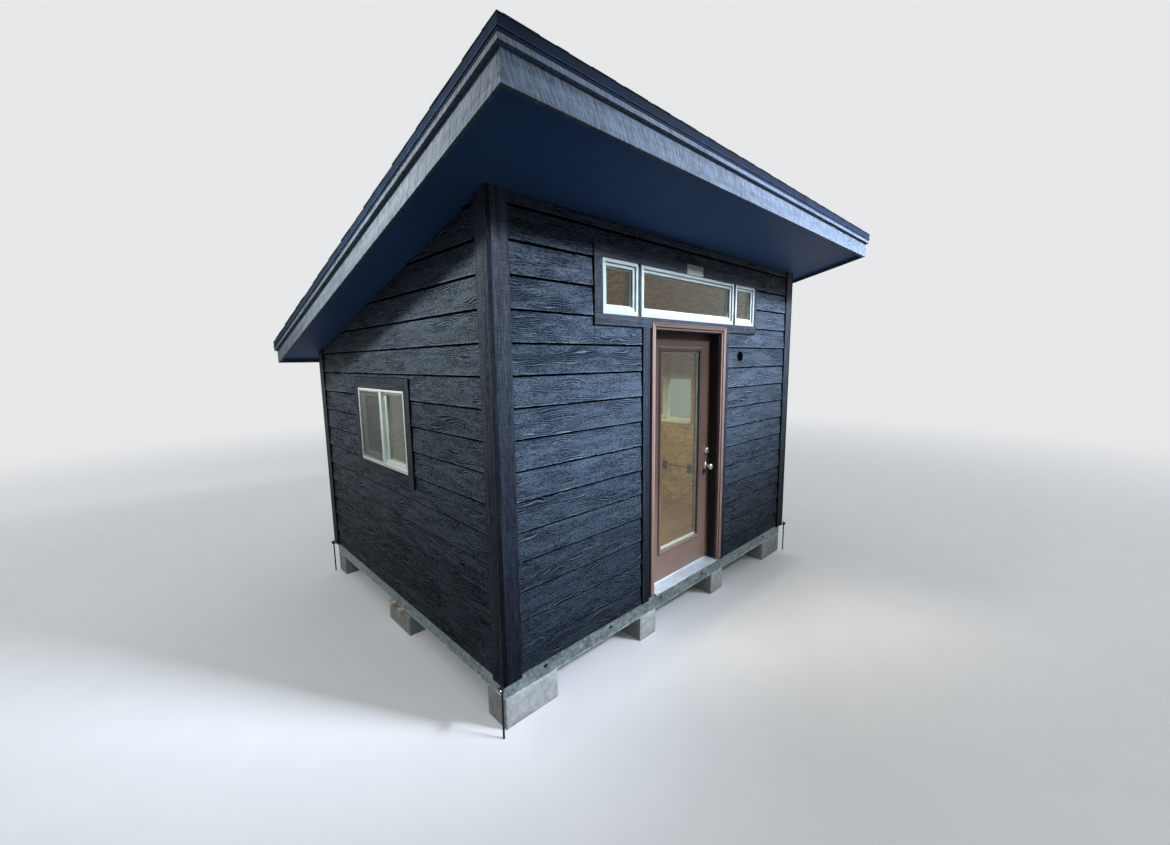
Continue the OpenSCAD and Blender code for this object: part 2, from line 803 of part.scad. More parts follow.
// The slab's half of each hinge: a leaf and the middle knuckle
module door_hinges() {
    third = hinge_h / 3;
    color("silver") in_place() for (z = hinge_z) translate([0, 0, z]) {
        difference() {
            union() {
                leaf(-door_w / 2 - leaf_t);
                translate([axis_x, axis_y, third + seat]) cylinder(r = knuckle_r, h = third - 3 * seat);
            }
            for (k = [-seat, 2 * third - 2 * seat]) translate([axis_x, axis_y, k])
                cylinder(r = knuckle_r + 1, h = third + 2 * seat);
            translate([axis_x, axis_y, -1]) cylinder(d = pin_d + 2 * pin_play, h = hinge_h + 2);
        }
    }
}

// The slab with its latch edge bevelled so that it clears the jamb as it swings in
module door_slab() {
    bevel = 2.3;
    hole_w = lite_w / 2 - lite_rim / 2;
    color("sienna") in_place() difference() {
        translate([0, 0, door_z]) linear_extrude(door_h) polygon([
            [-door_w / 2, slab_y0], [door_w / 2 - bevel, slab_y0],
            [door_w / 2, slab_y1], [-door_w / 2, slab_y1]]);
        block([-hole_w, slab_y0 - 1, door_z + lite_foot + lite_rim / 2],
            [hole_w, slab_y1 + 1, door_z + lite_foot + lite_h - lite_rim / 2]);
    }
}

module door_lite_frame() {
    color("sienna") in_place() for (y = [slab_y0 - lite_proud, slab_y1])
        ring_xz(-lite_w / 2, lite_w / 2, door_z + lite_foot, door_z + lite_foot + lite_h,
            lite_rim, y, y + lite_proud);
}

module door_glass() {
    edge = lite_rim / 2 + seat;
    y0 = slab_y0 + door_t / 2 - glass_t / 2;
    color("lightblue", 0.5) in_place()
        block([-lite_w / 2 + edge, y0, door_z + lite_foot + edge],
            [lite_w / 2 - edge, y0 + glass_t, door_z + lite_foot + lite_h - edge]);
}

// A turned knob on its rose, its axis along -Y. The rose's rim and neck are drawn in mm,
// and the knob's own outline as shares of its radius and of its reach.
module knob() {
    rose = rose_d / 2;
    r = knob_d / 2;
    neck = 0.4 * r;
    rotate([90, 0, 0]) rotate_extrude() polygon([
        [0, 0], [rose, 0], [rose, 3], [rose - 1.5, 5.5], [rose - 4, 7], [neck + 3, 8],
        [neck, 12], [neck, 0.46 * knob_l], [0.47 * r, 0.52 * knob_l], [0.63 * r, 0.58 * knob_l],
        [0.83 * r, 0.64 * knob_l], [0.96 * r, 0.71 * knob_l], [r, 0.79 * knob_l],
        [0.97 * r, 0.86 * knob_l], [0.87 * r, 0.93 * knob_l], [0.67 * r, 0.98 * knob_l],
        [0.4 * r, knob_l], [0.3 * r, 0.97 * knob_l], [0, 0.965 * knob_l]]);
}

module door_knobs() {
    color("silver") in_place() translate([door_w / 2 - backset, 0, door_z + knob_z]) {
        translate([0, slab_y0, 0]) knob();
        translate([0, slab_y1, 0]) mirror([0, 1, 0]) knob();
    }
}

// Deadbolt: a tapered key cylinder outside, and a plate with a thumb turn inside
module door_deadbolt() {
    z = door_z + knob_z + bolt_above_knob;
    rim = rose_d / 2 - 1;
    plate_t = 8;
    turn = [8, 38, 18];
    color("silver") in_place() translate([door_w / 2 - backset, 0, z]) {
        translate([0, slab_y0, 0]) rotate([90, 0, 0]) rotate_extrude() polygon([
            [0, 0], [rim, 0], [rim, 2.5], [rim - 1.5, 6], [rim - 4.5, 14.5], [rim - 6.5, 17.2],
            [rim - 9, 18], [13.5, 18], [13, 16.5], [0, 16.5]]);
        translate([0, slab_y1, 0]) rotate([-90, 0, 0]) {
            cylinder(r = rim - 1, h = plate_t);
            translate([-turn[0] / 2, -turn[1] / 2, plate_t - eps]) cube(turn);
        }
    }
}

module rafters() {
    y0 = fascia_y0 + fascia_t;
    y1 = fascia_y1 - fascia_t;
    pitch = (body_w - rafter_w) / (rafter_count - 1);
    barge = fascia_x - fascia_t - rafter_w;
    color("wheat") in_place() {
        for (i = [0:rafter_count - 1]) sloping(-half_w + i * pitch,
            -half_w + i * pitch + rafter_w, y0, y1, 0, rafter_top);
        both_sides() sloping(barge, barge + rafter_w, y0, y1, 0, rafter_top);
    }
}

module roof_boards() {
    color("burlywood") in_place()
        sloping(-strip_x, strip_x, strip_y0, strip_y1, board_low, board_top);
}

// Shingles in courses: each course thickens down to its butt, which steps on to the next
module roof_shingles() {
    reach = roof_y1 - roof_y0;
    courses = round(reach / course_l);
    run = reach / courses;
    y = function(k) roof_y1 - k * run;
    butts = [for (k = [0:courses - 1]) each [
        [y(k), rafter_z(y(k)) + shingle_top],
        [y(k + 1), rafter_z(y(k + 1)) + shingle_top - course_step * (k < courses - 1 ? 1 : 0)]]];
    color("black") in_place() along_x(-roof_x, roof_x) polygon([
        [roof_y0, rafter_z(roof_y0) + shingle_low], [roof_y1, rafter_z(roof_y1) + shingle_low],
        each butts]);
}

// Main fascias: the front and back boards cover the ends of the rake boards
module fascia_boards() {
    low = rafter_top - fascia_h;
    color("slategray") in_place() {
        for (y = [fascia_y0, fascia_y1 - fascia_t])
            sloping(-fascia_x, fascia_x, y, y + fascia_t, low, rafter_top);
        both_sides() sloping(fascia_x - fascia_t, fascia_x, fascia_y0 + fascia_t + board_gap,
            fascia_y1 - fascia_t - board_gap, low, rafter_top);
    }
}

// Narrow strips along the top of the fascias
module fascia_strips() {
    low = rafter_top - strip_h;
    color("slategray") in_place() {
        for (y = [strip_y0, fascia_y1]) sloping(-strip_x, strip_x, y, y + strip_t, low, rafter_top);
        both_sides() sloping(fascia_x, strip_x, fascia_y0 + board_gap, fascia_y1 - board_gap,
            low, rafter_top);
    }
}

// Drip edges: a face over the strip and a leg on the roof boards
module drip_edges() {
    foot = board_top - drip_h;
    y0 = strip_y0 + drip_leg;
    y1 = strip_y1 - drip_leg;
    color("black") in_place() {
        sloping(-drip_x, drip_x, drip_y0, strip_y0, foot, drip_top);
        sloping(-drip_x, drip_x, strip_y0 - eps, y0, drip_low, drip_top);
        sloping(-drip_x, drip_x, strip_y1, drip_y1, foot, drip_top);
        sloping(-drip_x, drip_x, y1, strip_y1 + eps, drip_low, drip_top);
        both_sides() {
            sloping(strip_x, drip_x, y0 + seat, y1 - seat, foot, drip_top);
            sloping(strip_x - drip_leg, strip_x + eps, y0 + seat, y1 - seat, drip_low, drip_top);
        }
    }
}

// Soffit panels between the walls and the fascias
module soffit_panels() {
    x_out = fascia_x - fascia_t;
    y0 = fascia_y0 + fascia_t;
    y1 = fascia_y1 - fascia_t;
    color("midnightblue") in_place() {
        sloping(-x_out, x_out, y0, front_y - seat, soffit_low, -seat);
        sloping(-x_out, x_out, back_y + seat, y1, soffit_low, -seat);
        both_sides() sloping(half_w + seat, x_out, front_y - seat + board_gap,
            back_y + seat - board_gap, soffit_low, -seat);
    }
}

module ceiling_panel() {
    color("tan") in_place() sloping(-inner_half + seat, inner_half - seat, inner_front + seat,
        inner_back - seat, soffit_low, -seat);
}

// Round port through the front wall: a tube with a recessed cap, its rim flush with the
// siding's lap
module wall_port() {
    rim = front_y - siding_t;
    bore = port_d - 2 * port_t;
    color("black") in_place() translate([port_x, 0, port_z]) rotate([-90, 0, 0])
        difference() {
            translate([0, 0, rim]) cylinder(d = port_d, h = inner_front - rim);
            translate([0, 0, -1]) cylinder(d = bore, h = rim + port_recess + 1);
            translate([0, 0, rim + port_recess + port_cap_t]) cylinder(d = bore, h = inner_front);
        }
}

// Places a piece at each anchor rod, one by each corner
module at_anchors() {
    both_sides() for (y = [-anchor_ahead, back_trim - anchor_behind])
        translate([trim_half + anchor_out, y, 0]) children();
}

module anchor_rods() {
    color("black") in_place() at_anchors() cylinder(d = rod_d, h = siding_z + rod_top);
}

// Outline of a strap that bends round the inner side of a rod: two legs and a half ring
module strap_line(r) {
    difference() {
        union() {
            circle(r = r + strap_t);
            translate([0, -r - strap_t]) square([r + 3 * strap_t, 2 * (r + strap_t)]);
        }
        circle(r = r);
        translate([0, -r]) square([r + 3 * strap_t + 1, 2 * r]);
    }
}

// An arm out of the base rail, under the corner boards, with a collar on the rod; on the
// collar a strap and a saddle that clamp the rod
module anchor_clamps() {
    z = siding_z - corner_drop - arm_t - seat;
    r = rod_d / 2 + seat;
    x = trim_half + anchor_out;
    y = -anchor_ahead;
    w = back_trim - anchor_behind;
    root = 46;
    color("silver") in_place() difference() {
        union() {
            both_sides() translate([0, 0, z]) linear_extrude(arm_t) {
                polygon([[half_w, front_y], [half_w, front_y + root], [x + r, y + r],
                    [x - r, y - r]]);
                polygon([[half_w, w - root / 2], [half_w, back_y], [x, w + r], [x, w - r]]);
            }
            at_anchors() translate([0, 0, z]) {
                cylinder(r = r + strap_t, h = arm_t + clamp_h / 4);
                translate([0, 0, clamp_h / 2]) linear_extrude(clamp_h / 2) strap_line(r);
                translate([r + seat, -r - 1.6 * strap_t, arm_t])
                    cube([1.5 * strap_t, 2 * r + 3.2 * strap_t, clamp_h - arm_t]);
            }
        }
        at_anchors() translate([0, 0, z - 1]) cylinder(r = r, h = clamp_h + 2);
    }
}

concrete_blocks();
block_shims();
base_rails();
floor_joists();
floor_deck();
front_wall_left();
front_wall_right();
front_wall_head();
left_wall();
right_wall();
back_wall();
siding_front();
siding_left();
siding_right();
siding_back();
corner_boards();
front_trim();
window_casings();
transom_frames();
transom_glass();
window_frames();
window_sashes();
window_glass();
window_screens();
door_jambs();
door_moulding();
door_threshold();
frame_hinges();
door_slab();
door_lite_frame();
door_glass();
door_knobs();
door_deadbolt();
door_hinges();
rafters();
roof_boards();
roof_shingles();
fascia_boards();
fascia_strips();
drip_edges();
soffit_panels();
ceiling_panel();
wall_port();
anchor_rods();
anchor_clamps();
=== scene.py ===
"""Finishes and fine pieces of a garden office pod: lap boards, shingle courses, vinyl
windows, a glazed door with its hardware, and the steel base on concrete blocks."""

import math
import random
from functools import partial

import bmesh
import bpy
from bpy.props import FloatProperty, FloatVectorProperty, IntProperty, PointerProperty
from bpy.types import Operator, Panel, PropertyGroup
from mathutils import Matrix, Vector, noise


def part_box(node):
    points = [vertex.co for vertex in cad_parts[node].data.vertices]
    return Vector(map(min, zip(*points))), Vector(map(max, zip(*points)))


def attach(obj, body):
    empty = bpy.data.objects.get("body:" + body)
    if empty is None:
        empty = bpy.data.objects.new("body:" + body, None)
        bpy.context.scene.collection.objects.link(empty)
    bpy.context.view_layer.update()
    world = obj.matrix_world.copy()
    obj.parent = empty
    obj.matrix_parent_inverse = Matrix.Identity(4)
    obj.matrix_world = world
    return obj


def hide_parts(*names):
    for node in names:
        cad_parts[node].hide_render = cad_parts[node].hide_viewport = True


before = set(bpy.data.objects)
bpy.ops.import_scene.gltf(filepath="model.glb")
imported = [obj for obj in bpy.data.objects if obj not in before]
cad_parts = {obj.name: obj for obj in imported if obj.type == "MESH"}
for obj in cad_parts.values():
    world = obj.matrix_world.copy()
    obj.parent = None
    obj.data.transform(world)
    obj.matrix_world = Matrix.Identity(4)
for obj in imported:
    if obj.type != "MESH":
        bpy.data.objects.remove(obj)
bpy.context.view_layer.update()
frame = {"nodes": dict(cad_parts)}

bl_info = {
    "name": "Garden Office Pod",
    "version": (1, 0, 0),
    "blender": (4, 5, 0),
    "location": "3D View > Sidebar > Pod",
    "description": "Finishes and fine pieces of a garden office pod",
    "category": "Object",
}

# Planes and levels that the pieces share, read from the frame
FACE_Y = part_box("corner_boards")[0].y
BACK_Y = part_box("corner_boards")[1].y
SIDE_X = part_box("corner_boards")[1].x
TRIM_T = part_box("floor_deck")[0].y - FACE_Y
SHEATH_Y = FACE_Y + TRIM_T
SHEATH_BACK = BACK_Y - TRIM_T
SHEATH_X = SIDE_X - TRIM_T
SIDING_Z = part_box("siding_front")[0].z
DECK_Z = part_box("floor_deck")[1].z
DOOR_LOW, DOOR_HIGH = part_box("door_slab")
RAIL_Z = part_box("base_rails")[0].z
PITCH = math.radians(13.7)
SLOPE = math.tan(PITCH)


def linear(code):
    """Linear colour of an sRGB hex code."""
    parts = [int(code[i:i + 2], 16) / 255 for i in (1, 3, 5)]
    return [p / 12.92 if p <= 0.04045 else ((p + 0.055) / 1.055) ** 2.4 for p in parts] + [1.0]


def length(name, description, default, low=0.0, high=10.0):
    """A size in metres for the panel."""
    return FloatProperty(name=name, description=description, default=default, min=low,
                         max=high, unit="LENGTH", precision=4)


def colour(name, description, code):
    """A colour for the panel."""
    return FloatVectorProperty(name=name, description=description, default=linear(code),
                               size=4, min=0.0, max=1.0, subtype="COLOR")


class PodSiding(PropertyGroup):
    """Sizes of the lap boards and the trim's nails"""
    lap_height: length("Lap height", "Height of board that each lap leaves in view", 0.1778)
    first_lap: length("First lap", "Height of the lowest lap", 0.151)
    foot_thickness: length("Foot thickness", "Thickness of a board at its lower edge", 0.0185)
    top_thickness: length("Top thickness", "Thickness where the next board covers it", 0.0085)
    waviness: length("Waviness", "How far a board bows in and out", 0.0014)
    board_edge: length("Board edge", "Rounding of a board's edges", 0.0016)
    end_gap: length("End gap", "Gap between a board's end and the trim", 0.006)
    nail_head: length("Nail head", "Diameter of the trim's nail heads", 0.0075)
    nail_spacing: length("Nail spacing", "Distance between nails along a board", 0.42)


class PodRoof(PropertyGroup):
    """Sizes of the shingle courses"""
    course: length("Course", "Length of roof that a course leaves in view", 0.144)
    tab_pitch: length("Tab pitch", "Mean distance between the raised tabs", 0.21)
    strip_thickness: length("Strip thickness", "Thickness of a shingle strip", 0.003)
    tab_thickness: length("Tab thickness", "Thickness of the raised tabs", 0.0022)
    butt_lift: length("Butt lift", "Height of a strip's butt above the roof", 0.0035)
    seed: IntProperty(name="Seed", description="Seed of the tabs' widths and tones", default=7)


class PodDoor(PropertyGroup):
    """Sizes of the door's mouldings and hardware"""
    glass_rim: length("Glass rim", "Width of the moulding round the glass", 0.032)
    spacer: length("Spacer", "Width of the spacer seen between the panes", 0.011)
    knob_radius: length("Knob radius", "Radius of the knobs", 0.027)
    screw_head: length("Screw head", "Diameter of the hinge screws' heads", 0.0078)
    rib_pitch: length("Rib pitch", "Distance between the threshold's ribs", 0.011)


class PodBase(PropertyGroup):
    """Sizes of the base"""
    block_wear: length("Block wear", "How far the blocks' faces are worn back", 0.004)


class PodFinish(PropertyGroup):
    """Colours of the finishes"""
    siding: colour("Siding", "Paint on the lap boards", "#35414d")
    trim: colour("Trim", "Paint on the trim boards", "#1f2731")
    # The fascias take the trim's paint in a paler copy, painted light for the sky that they face
    fascia: colour("Fascia", "Paint on the fascias", "#525f6d")
    soffit: colour("Soffit", "Paint on the soffit", "#476ba2")
    door: colour("Door", "Paint on the door", "#665146")
    frame: colour("Door frame", "Paint on the moulding round the door", "#715c53")
    vinyl: colour("Window frames", "Vinyl of the windows", "#cfddd8")
    shingle: colour("Shingles", "Granules of the shingles", "#1f2631")


# Node trees

def add(tree, kind, links=None, **settings):
    """Adds a node; settings are its own properties, links its inputs by name or number."""
    made = tree.nodes.new(kind)
    for name, value in settings.items():
        setattr(made, name, value)
    for name, value in (links or {}).items():
        joined = isinstance(value, list) and isinstance(value[0], bpy.types.Node)
        for one in value if joined else [value]:
            if isinstance(one, bpy.types.NodeSocket):
                tree.links.new(one, made.inputs[name])
            elif isinstance(one, bpy.types.Node):
                tree.links.new(one.outputs[0], made.inputs[name])
            else:
                made.inputs[name].default_value = one
    return made


def new_material(name):
    """An empty material and its tree."""
    made = bpy.data.materials.new(name)
    made.use_nodes = True
    made.node_tree.nodes.clear()
    return made, made.node_tree


def hue(value):
    """A colour: a hex code, or one of the panel's finishes with a factor."""
    if isinstance(value, str):
        return linear(value)
    name, factor = value
    return shaded(getattr(bpy.context.scene.pod_finish, name), factor)


# Slant of a saw's marks across a board, in radians
SAW_SLANT = 0.45
# The wave texture repeats once in this length
WAVE_LENGTH = 0.314


def surface(dark, light, patterns, rough, name, relief=0.0, metallic=0.0, reads="grain",
            tone=0.0, contrast=(0.3, 0.7), shine=None, lap_shade_and_highlight=False, painted_edge_shade=False, fades=(),
            **sockets):
    """A finish in two colours. Each pattern is its kind, its size in mm along, across and
    through the piece, its detail, its distortion and its share; saw is noise that slants
    like a saw's marks. relief is in mm. rough and shine are the roughness and the specular
    level of the dark and the light places, and tone is how far pieces differ; on the drip
    edge, the vinyl and the door moulding the tone paints light and shade. The lap option
    paints shade into the corner and the gap under each lap and a highlight on each board's
    nose, and the edge option paints shade on a board's narrow sides. Each of fades is two
    heights in metres and the shade at each, painted light and shade by height. Other
    inputs of the shader follow by name."""
    made, tree = new_material(name)
    if reads == "grain":
        place = add(tree, "ShaderNodeAttribute", attribute_name="grain").outputs["Vector"]
    else:
        place = add(tree, "ShaderNodeTexCoord").outputs["Object"]
    total = None
    for kind, size, detail, distortion, share in patterns:
        spot = add(tree, "ShaderNodeMapping", {
            "Vector": place, "Scale": [s / 1000 for s in size],
            "Rotation": (0.0, 0.0, SAW_SLANT if kind == "saw" else 0.0)},
            vector_type="TEXTURE")
        if kind in ("noise", "saw"):
            found = add(tree, "ShaderNodeTexNoise", {
                "Vector": spot, "Scale": 1.0, "Detail": detail, "Distortion": distortion})
            value = add(tree, "ShaderNodeMapRange", {
                "Value": found, "From Min": contrast[0], "From Max": contrast[1]})
        elif kind == "rings":
            # growth rings that come and go along the board
            found = add(tree, "ShaderNodeTexWave", {
                "Vector": spot, "Scale": WAVE_LENGTH, "Distortion": distortion, "Detail": detail,
                "Detail Scale": 0.76}, bands_direction="Y")
            where = add(tree, "ShaderNodeTexNoise", {
                "Vector": add(tree, "ShaderNodeMapping", {
                    "Vector": place, "Scale": (3.0, 14, 14), "Location": (5, 3, 0)}),
                "Scale": 1.0, "Detail": 1.0})
            patch = add(tree, "ShaderNodeMapRange", {
                "Value": where, "From Min": 0.5, "From Max": 0.6})
            crest = add(tree, "ShaderNodeMath", {0: found, 1: 4.0}, operation="POWER")
            value = add(tree, "ShaderNodeMath", {
                0: add(tree, "ShaderNodeMath", {0: crest, 1: 0.22}, operation="SUBTRACT"),
                1: patch}, operation="MULTIPLY")
        elif kind == "chips":
            found = add(tree, "ShaderNodeTexVoronoi", {
                "Vector": spot, "Scale": 1.0, "Randomness": 1.0}).outputs["Color"]
            value = add(tree, "ShaderNodeSeparateColor", {"Color": found})
        else:
            found = add(tree, "ShaderNodeTexVoronoi", {"Vector": spot, "Scale": 1.0})
            value = add(tree, "ShaderNodeMapRange", {
                "Value": found, "From Min": 0.05, "From Max": 0.45})
        total = add(tree, "ShaderNodeMath", {0: value, 1: share, 2: total or 0.0},
                    operation="MULTIPLY_ADD")
    paint = add(tree, "ShaderNodeMix", {0: total, 6: hue(dark), 7: hue(light)},
                data_type="RGBA").outputs[2]
    ramps = []
    if tone:
        own = add(tree, "ShaderNodeAttribute", attribute_name="tone").outputs["Fac"]
        ramps.append((own, 0.0, 1.0, 1 - tone, 1 + tone))
    if lap_shade_and_highlight or fades:
        height = add(tree, "ShaderNodeSeparateXYZ", {
            0: add(tree, "ShaderNodeTexCoord").outputs["Object"]}).outputs[2]
    if lap_shade_and_highlight:
        lap = bpy.context.scene.pod_siding.lap_height
        foot = add(tree, "ShaderNodeAttribute", attribute_name="foot").outputs["Fac"]
        rise = add(tree, "ShaderNodeMath", {0: height, 1: foot}, operation="SUBTRACT")
        # painted shade in the corner under the next board and in the gap under this one, and a
        # painted highlight on its nose
        ramps += [(rise, lap - 0.015, lap - 0.009, 1.0, 0.02),
                  (rise, 0.0008, 0.0022, 0.03, 1.0), (rise, 0.005, 0.012, 1.6, 1.0)]
    # painted shade on a board's narrow sides, marked by its edge attribute
    if painted_edge_shade:
        edge = add(tree, "ShaderNodeAttribute", attribute_name="edge").outputs["Fac"]
        ramps.append((edge, 0.0, 1.0, 1.0, 0.4))
    ramps += [(height, *fade) for fade in fades]
    shades = [add(tree, "ShaderNodeMapRange", {
        "Value": value, "From Min": low, "From Max": high, "To Min": first, "To Max": last})
        for value, low, high, first, last in ramps]
    gloss = add(tree, "ShaderNodeMapRange", {
        "Value": total, "To Min": rough[0], "To Max": rough[1]})
    links = {"Roughness": gloss, "Metallic": metallic}
    if shine:
        gleam = add(tree, "ShaderNodeMapRange", {
            "Value": total, "To Min": shine[0], "To Max": shine[1]})
        for shade in shades:
            gleam = add(tree, "ShaderNodeMath", {0: gleam, 1: shade}, operation="MULTIPLY")
        links["Specular IOR Level"] = gleam
    for shade in shades:
        paint = add(tree, "ShaderNodeVectorMath", {0: paint, "Scale": shade},
                    operation="SCALE").outputs[0]
    links["Base Color"] = paint
    if relief:
        links["Normal"] = add(tree, "ShaderNodeBump", {
            "Height": total, "Distance": relief / 1000, "Strength": 1.0})
    links.update({key.replace("_", " "): value for key, value in sockets.items()})
    body = add(tree, "ShaderNodeBsdfPrincipled", links)
    add(tree, "ShaderNodeOutputMaterial", {"Surface": body})
    return made


def shaded(code, factor):
    """The same colour, lighter or darker."""
    return [min(1.0, c * factor) for c in code[:3]] + [1.0]


def clear_glass(tint, name):
    """Float glass with a bright reflection at a flat angle. Light that has to reach the
    room passes straight through."""
    made, tree = new_material(name)
    ripple = add(tree, "ShaderNodeTexNoise", {
        "Vector": add(tree, "ShaderNodeTexCoord").outputs["Object"], "Scale": 2.5,
        "Detail": 1.0})
    bent = add(tree, "ShaderNodeBump", {"Height": ripple, "Distance": 0.0006, "Strength": 0.5})
    shine = add(tree, "ShaderNodeBsdfPrincipled", {
        "Base Color": linear(tint), "Roughness": 0.02, "IOR": 1.3,
        "Transmission Weight": 1.0, "Normal": bent})
    open_way = add(tree, "ShaderNodeBsdfTransparent", {"Color": linear("#e6ebe6")})
    path = add(tree, "ShaderNodeLightPath")
    passing = add(tree, "ShaderNodeMath", {
        0: path.outputs["Is Shadow Ray"], 1: path.outputs["Is Diffuse Ray"]},
        operation="MAXIMUM")
    either = add(tree, "ShaderNodeMixShader", {0: passing, 1: shine, 2: open_way})
    add(tree, "ShaderNodeOutputMaterial", {"Surface": either})
    return made


# The net is drawn three times as coarse as the real 1.5 mm one, so that it still shows
# close up: its pitch in mm, and the share of it that is thread
NET_PITCH = 4.5
THREAD_SHARE = 0.3


def insect_screen(name):
    """A net of threads with clear holes."""
    made, tree = new_material(name)
    place = add(tree, "ShaderNodeTexCoord").outputs["Object"]
    axes = add(tree, "ShaderNodeSeparateXYZ", {0: place})
    gaps = []
    for axis in (1, 2):
        wave = add(tree, "ShaderNodeMath", {0: axes.outputs[axis], 1: 1000 / NET_PITCH},
                   operation="MULTIPLY")
        part = add(tree, "ShaderNodeMath", {0: wave}, operation="FRACT")
        gaps.append(add(tree, "ShaderNodeMath", {0: part, 1: THREAD_SHARE},
                        operation="GREATER_THAN"))
    hole = add(tree, "ShaderNodeMath", {0: gaps[0], 1: gaps[1]}, operation="MULTIPLY")
    veil = add(tree, "ShaderNodeMath", {0: hole, 1: -1.0, 2: 1.0}, operation="MULTIPLY_ADD")
    thread = add(tree, "ShaderNodeBsdfPrincipled", {
        "Base Color": linear("#6d7476"), "Roughness": 0.7, "Alpha": veil})
    add(tree, "ShaderNodeOutputMaterial", {"Surface": thread})
    return made


def walled(inner, outer, name):
    """Oriented strand board inside, near black on the faces behind the siding: painted shade for
    the gaps round the trim and windows.
    """
    behind = 0.03
    made, tree = new_material(name)
    place = add(tree, "ShaderNodeTexCoord").outputs["Object"]
    strands = add(tree, "ShaderNodeTexVoronoi", {
        "Vector": add(tree, "ShaderNodeMapping", {
            "Vector": place, "Scale": (22, 22, 55), "Rotation": (0.4, 0.3, 0.2)}),
        "Scale": 1.0}).outputs["Color"]
    fibre = add(tree, "ShaderNodeTexNoise", {
        "Vector": add(tree, "ShaderNodeMapping", {"Vector": place, "Scale": (40, 40, 260)}),
        "Scale": 1.0, "Detail": 3.0})
    patches = add(tree, "ShaderNodeTexNoise", {
        "Vector": place, "Scale": 6.0, "Detail": 5.0, "Roughness": 0.7})
    tones = add(tree, "ShaderNodeSeparateColor", {"Color": strands})
    broad = add(tree, "ShaderNodeMapRange", {
        "Value": patches, "From Min": 0.35, "From Max": 0.65, "To Min": -0.2,
        "To Max": 0.25})
    mixed = add(tree, "ShaderNodeMath", {0: tones, 1: 0.6, 2: add(
        tree, "ShaderNodeMath", {0: fibre, 1: 0.5, 2: broad}, operation="MULTIPLY_ADD")},
        operation="MULTIPLY_ADD")
    wood = add(tree, "ShaderNodeMix", {0: mixed, 6: shaded(linear(inner), 0.4),
                                       7: shaded(linear(inner), 1.5)},
               data_type="RGBA").outputs[2]
    axes = add(tree, "ShaderNodeSeparateXYZ", {0: place})
    wide = add(tree, "ShaderNodeMath", {0: axes.outputs[0]}, operation="ABSOLUTE")
    depth = add(tree, "ShaderNodeMath", {0: axes.outputs[1], 1: (SHEATH_Y + SHEATH_BACK) / 2},
                operation="SUBTRACT")
    deep = add(tree, "ShaderNodeMath", {0: depth}, operation="ABSOLUTE")
    outside = add(tree, "ShaderNodeMath", {
        0: add(tree, "ShaderNodeMath", {0: wide, 1: SHEATH_X - behind},
               operation="GREATER_THAN"),
        1: add(tree, "ShaderNodeMath", {
            0: deep, 1: (SHEATH_BACK - SHEATH_Y) / 2 - behind}, operation="GREATER_THAN")},
        operation="MAXIMUM")
    paint = add(tree, "ShaderNodeMix", {0: outside, 6: wood, 7: linear(outer)},
                data_type="RGBA").outputs[2]
    lumps = add(tree, "ShaderNodeBump", {"Height": mixed, "Distance": 0.0008})
    body = add(tree, "ShaderNodeBsdfPrincipled", {
        "Base Color": paint, "Roughness": 0.72, "Normal": lumps})
    add(tree, "ShaderNodeOutputMaterial", {"Surface": body})
    return made


FINISHES = {}


def finish(name):
    """The material of that name, made when it is first asked for."""
    if name not in FINISHES:
        FINISHES[name] = MAKERS[name](name=name)
    return FINISHES[name]


# Painted shade by height: boards are painted darker towards the ground, the trim more than
# the siding, for the dimmer light low on the walls: two heights and the shade at each
GROUND_SHADE = ((SIDING_Z, 1.5, 0.44, 1.0),)
TRIM_GROUND_SHADE = ((SIDING_Z, 2.1, 0.35, 1.0),)

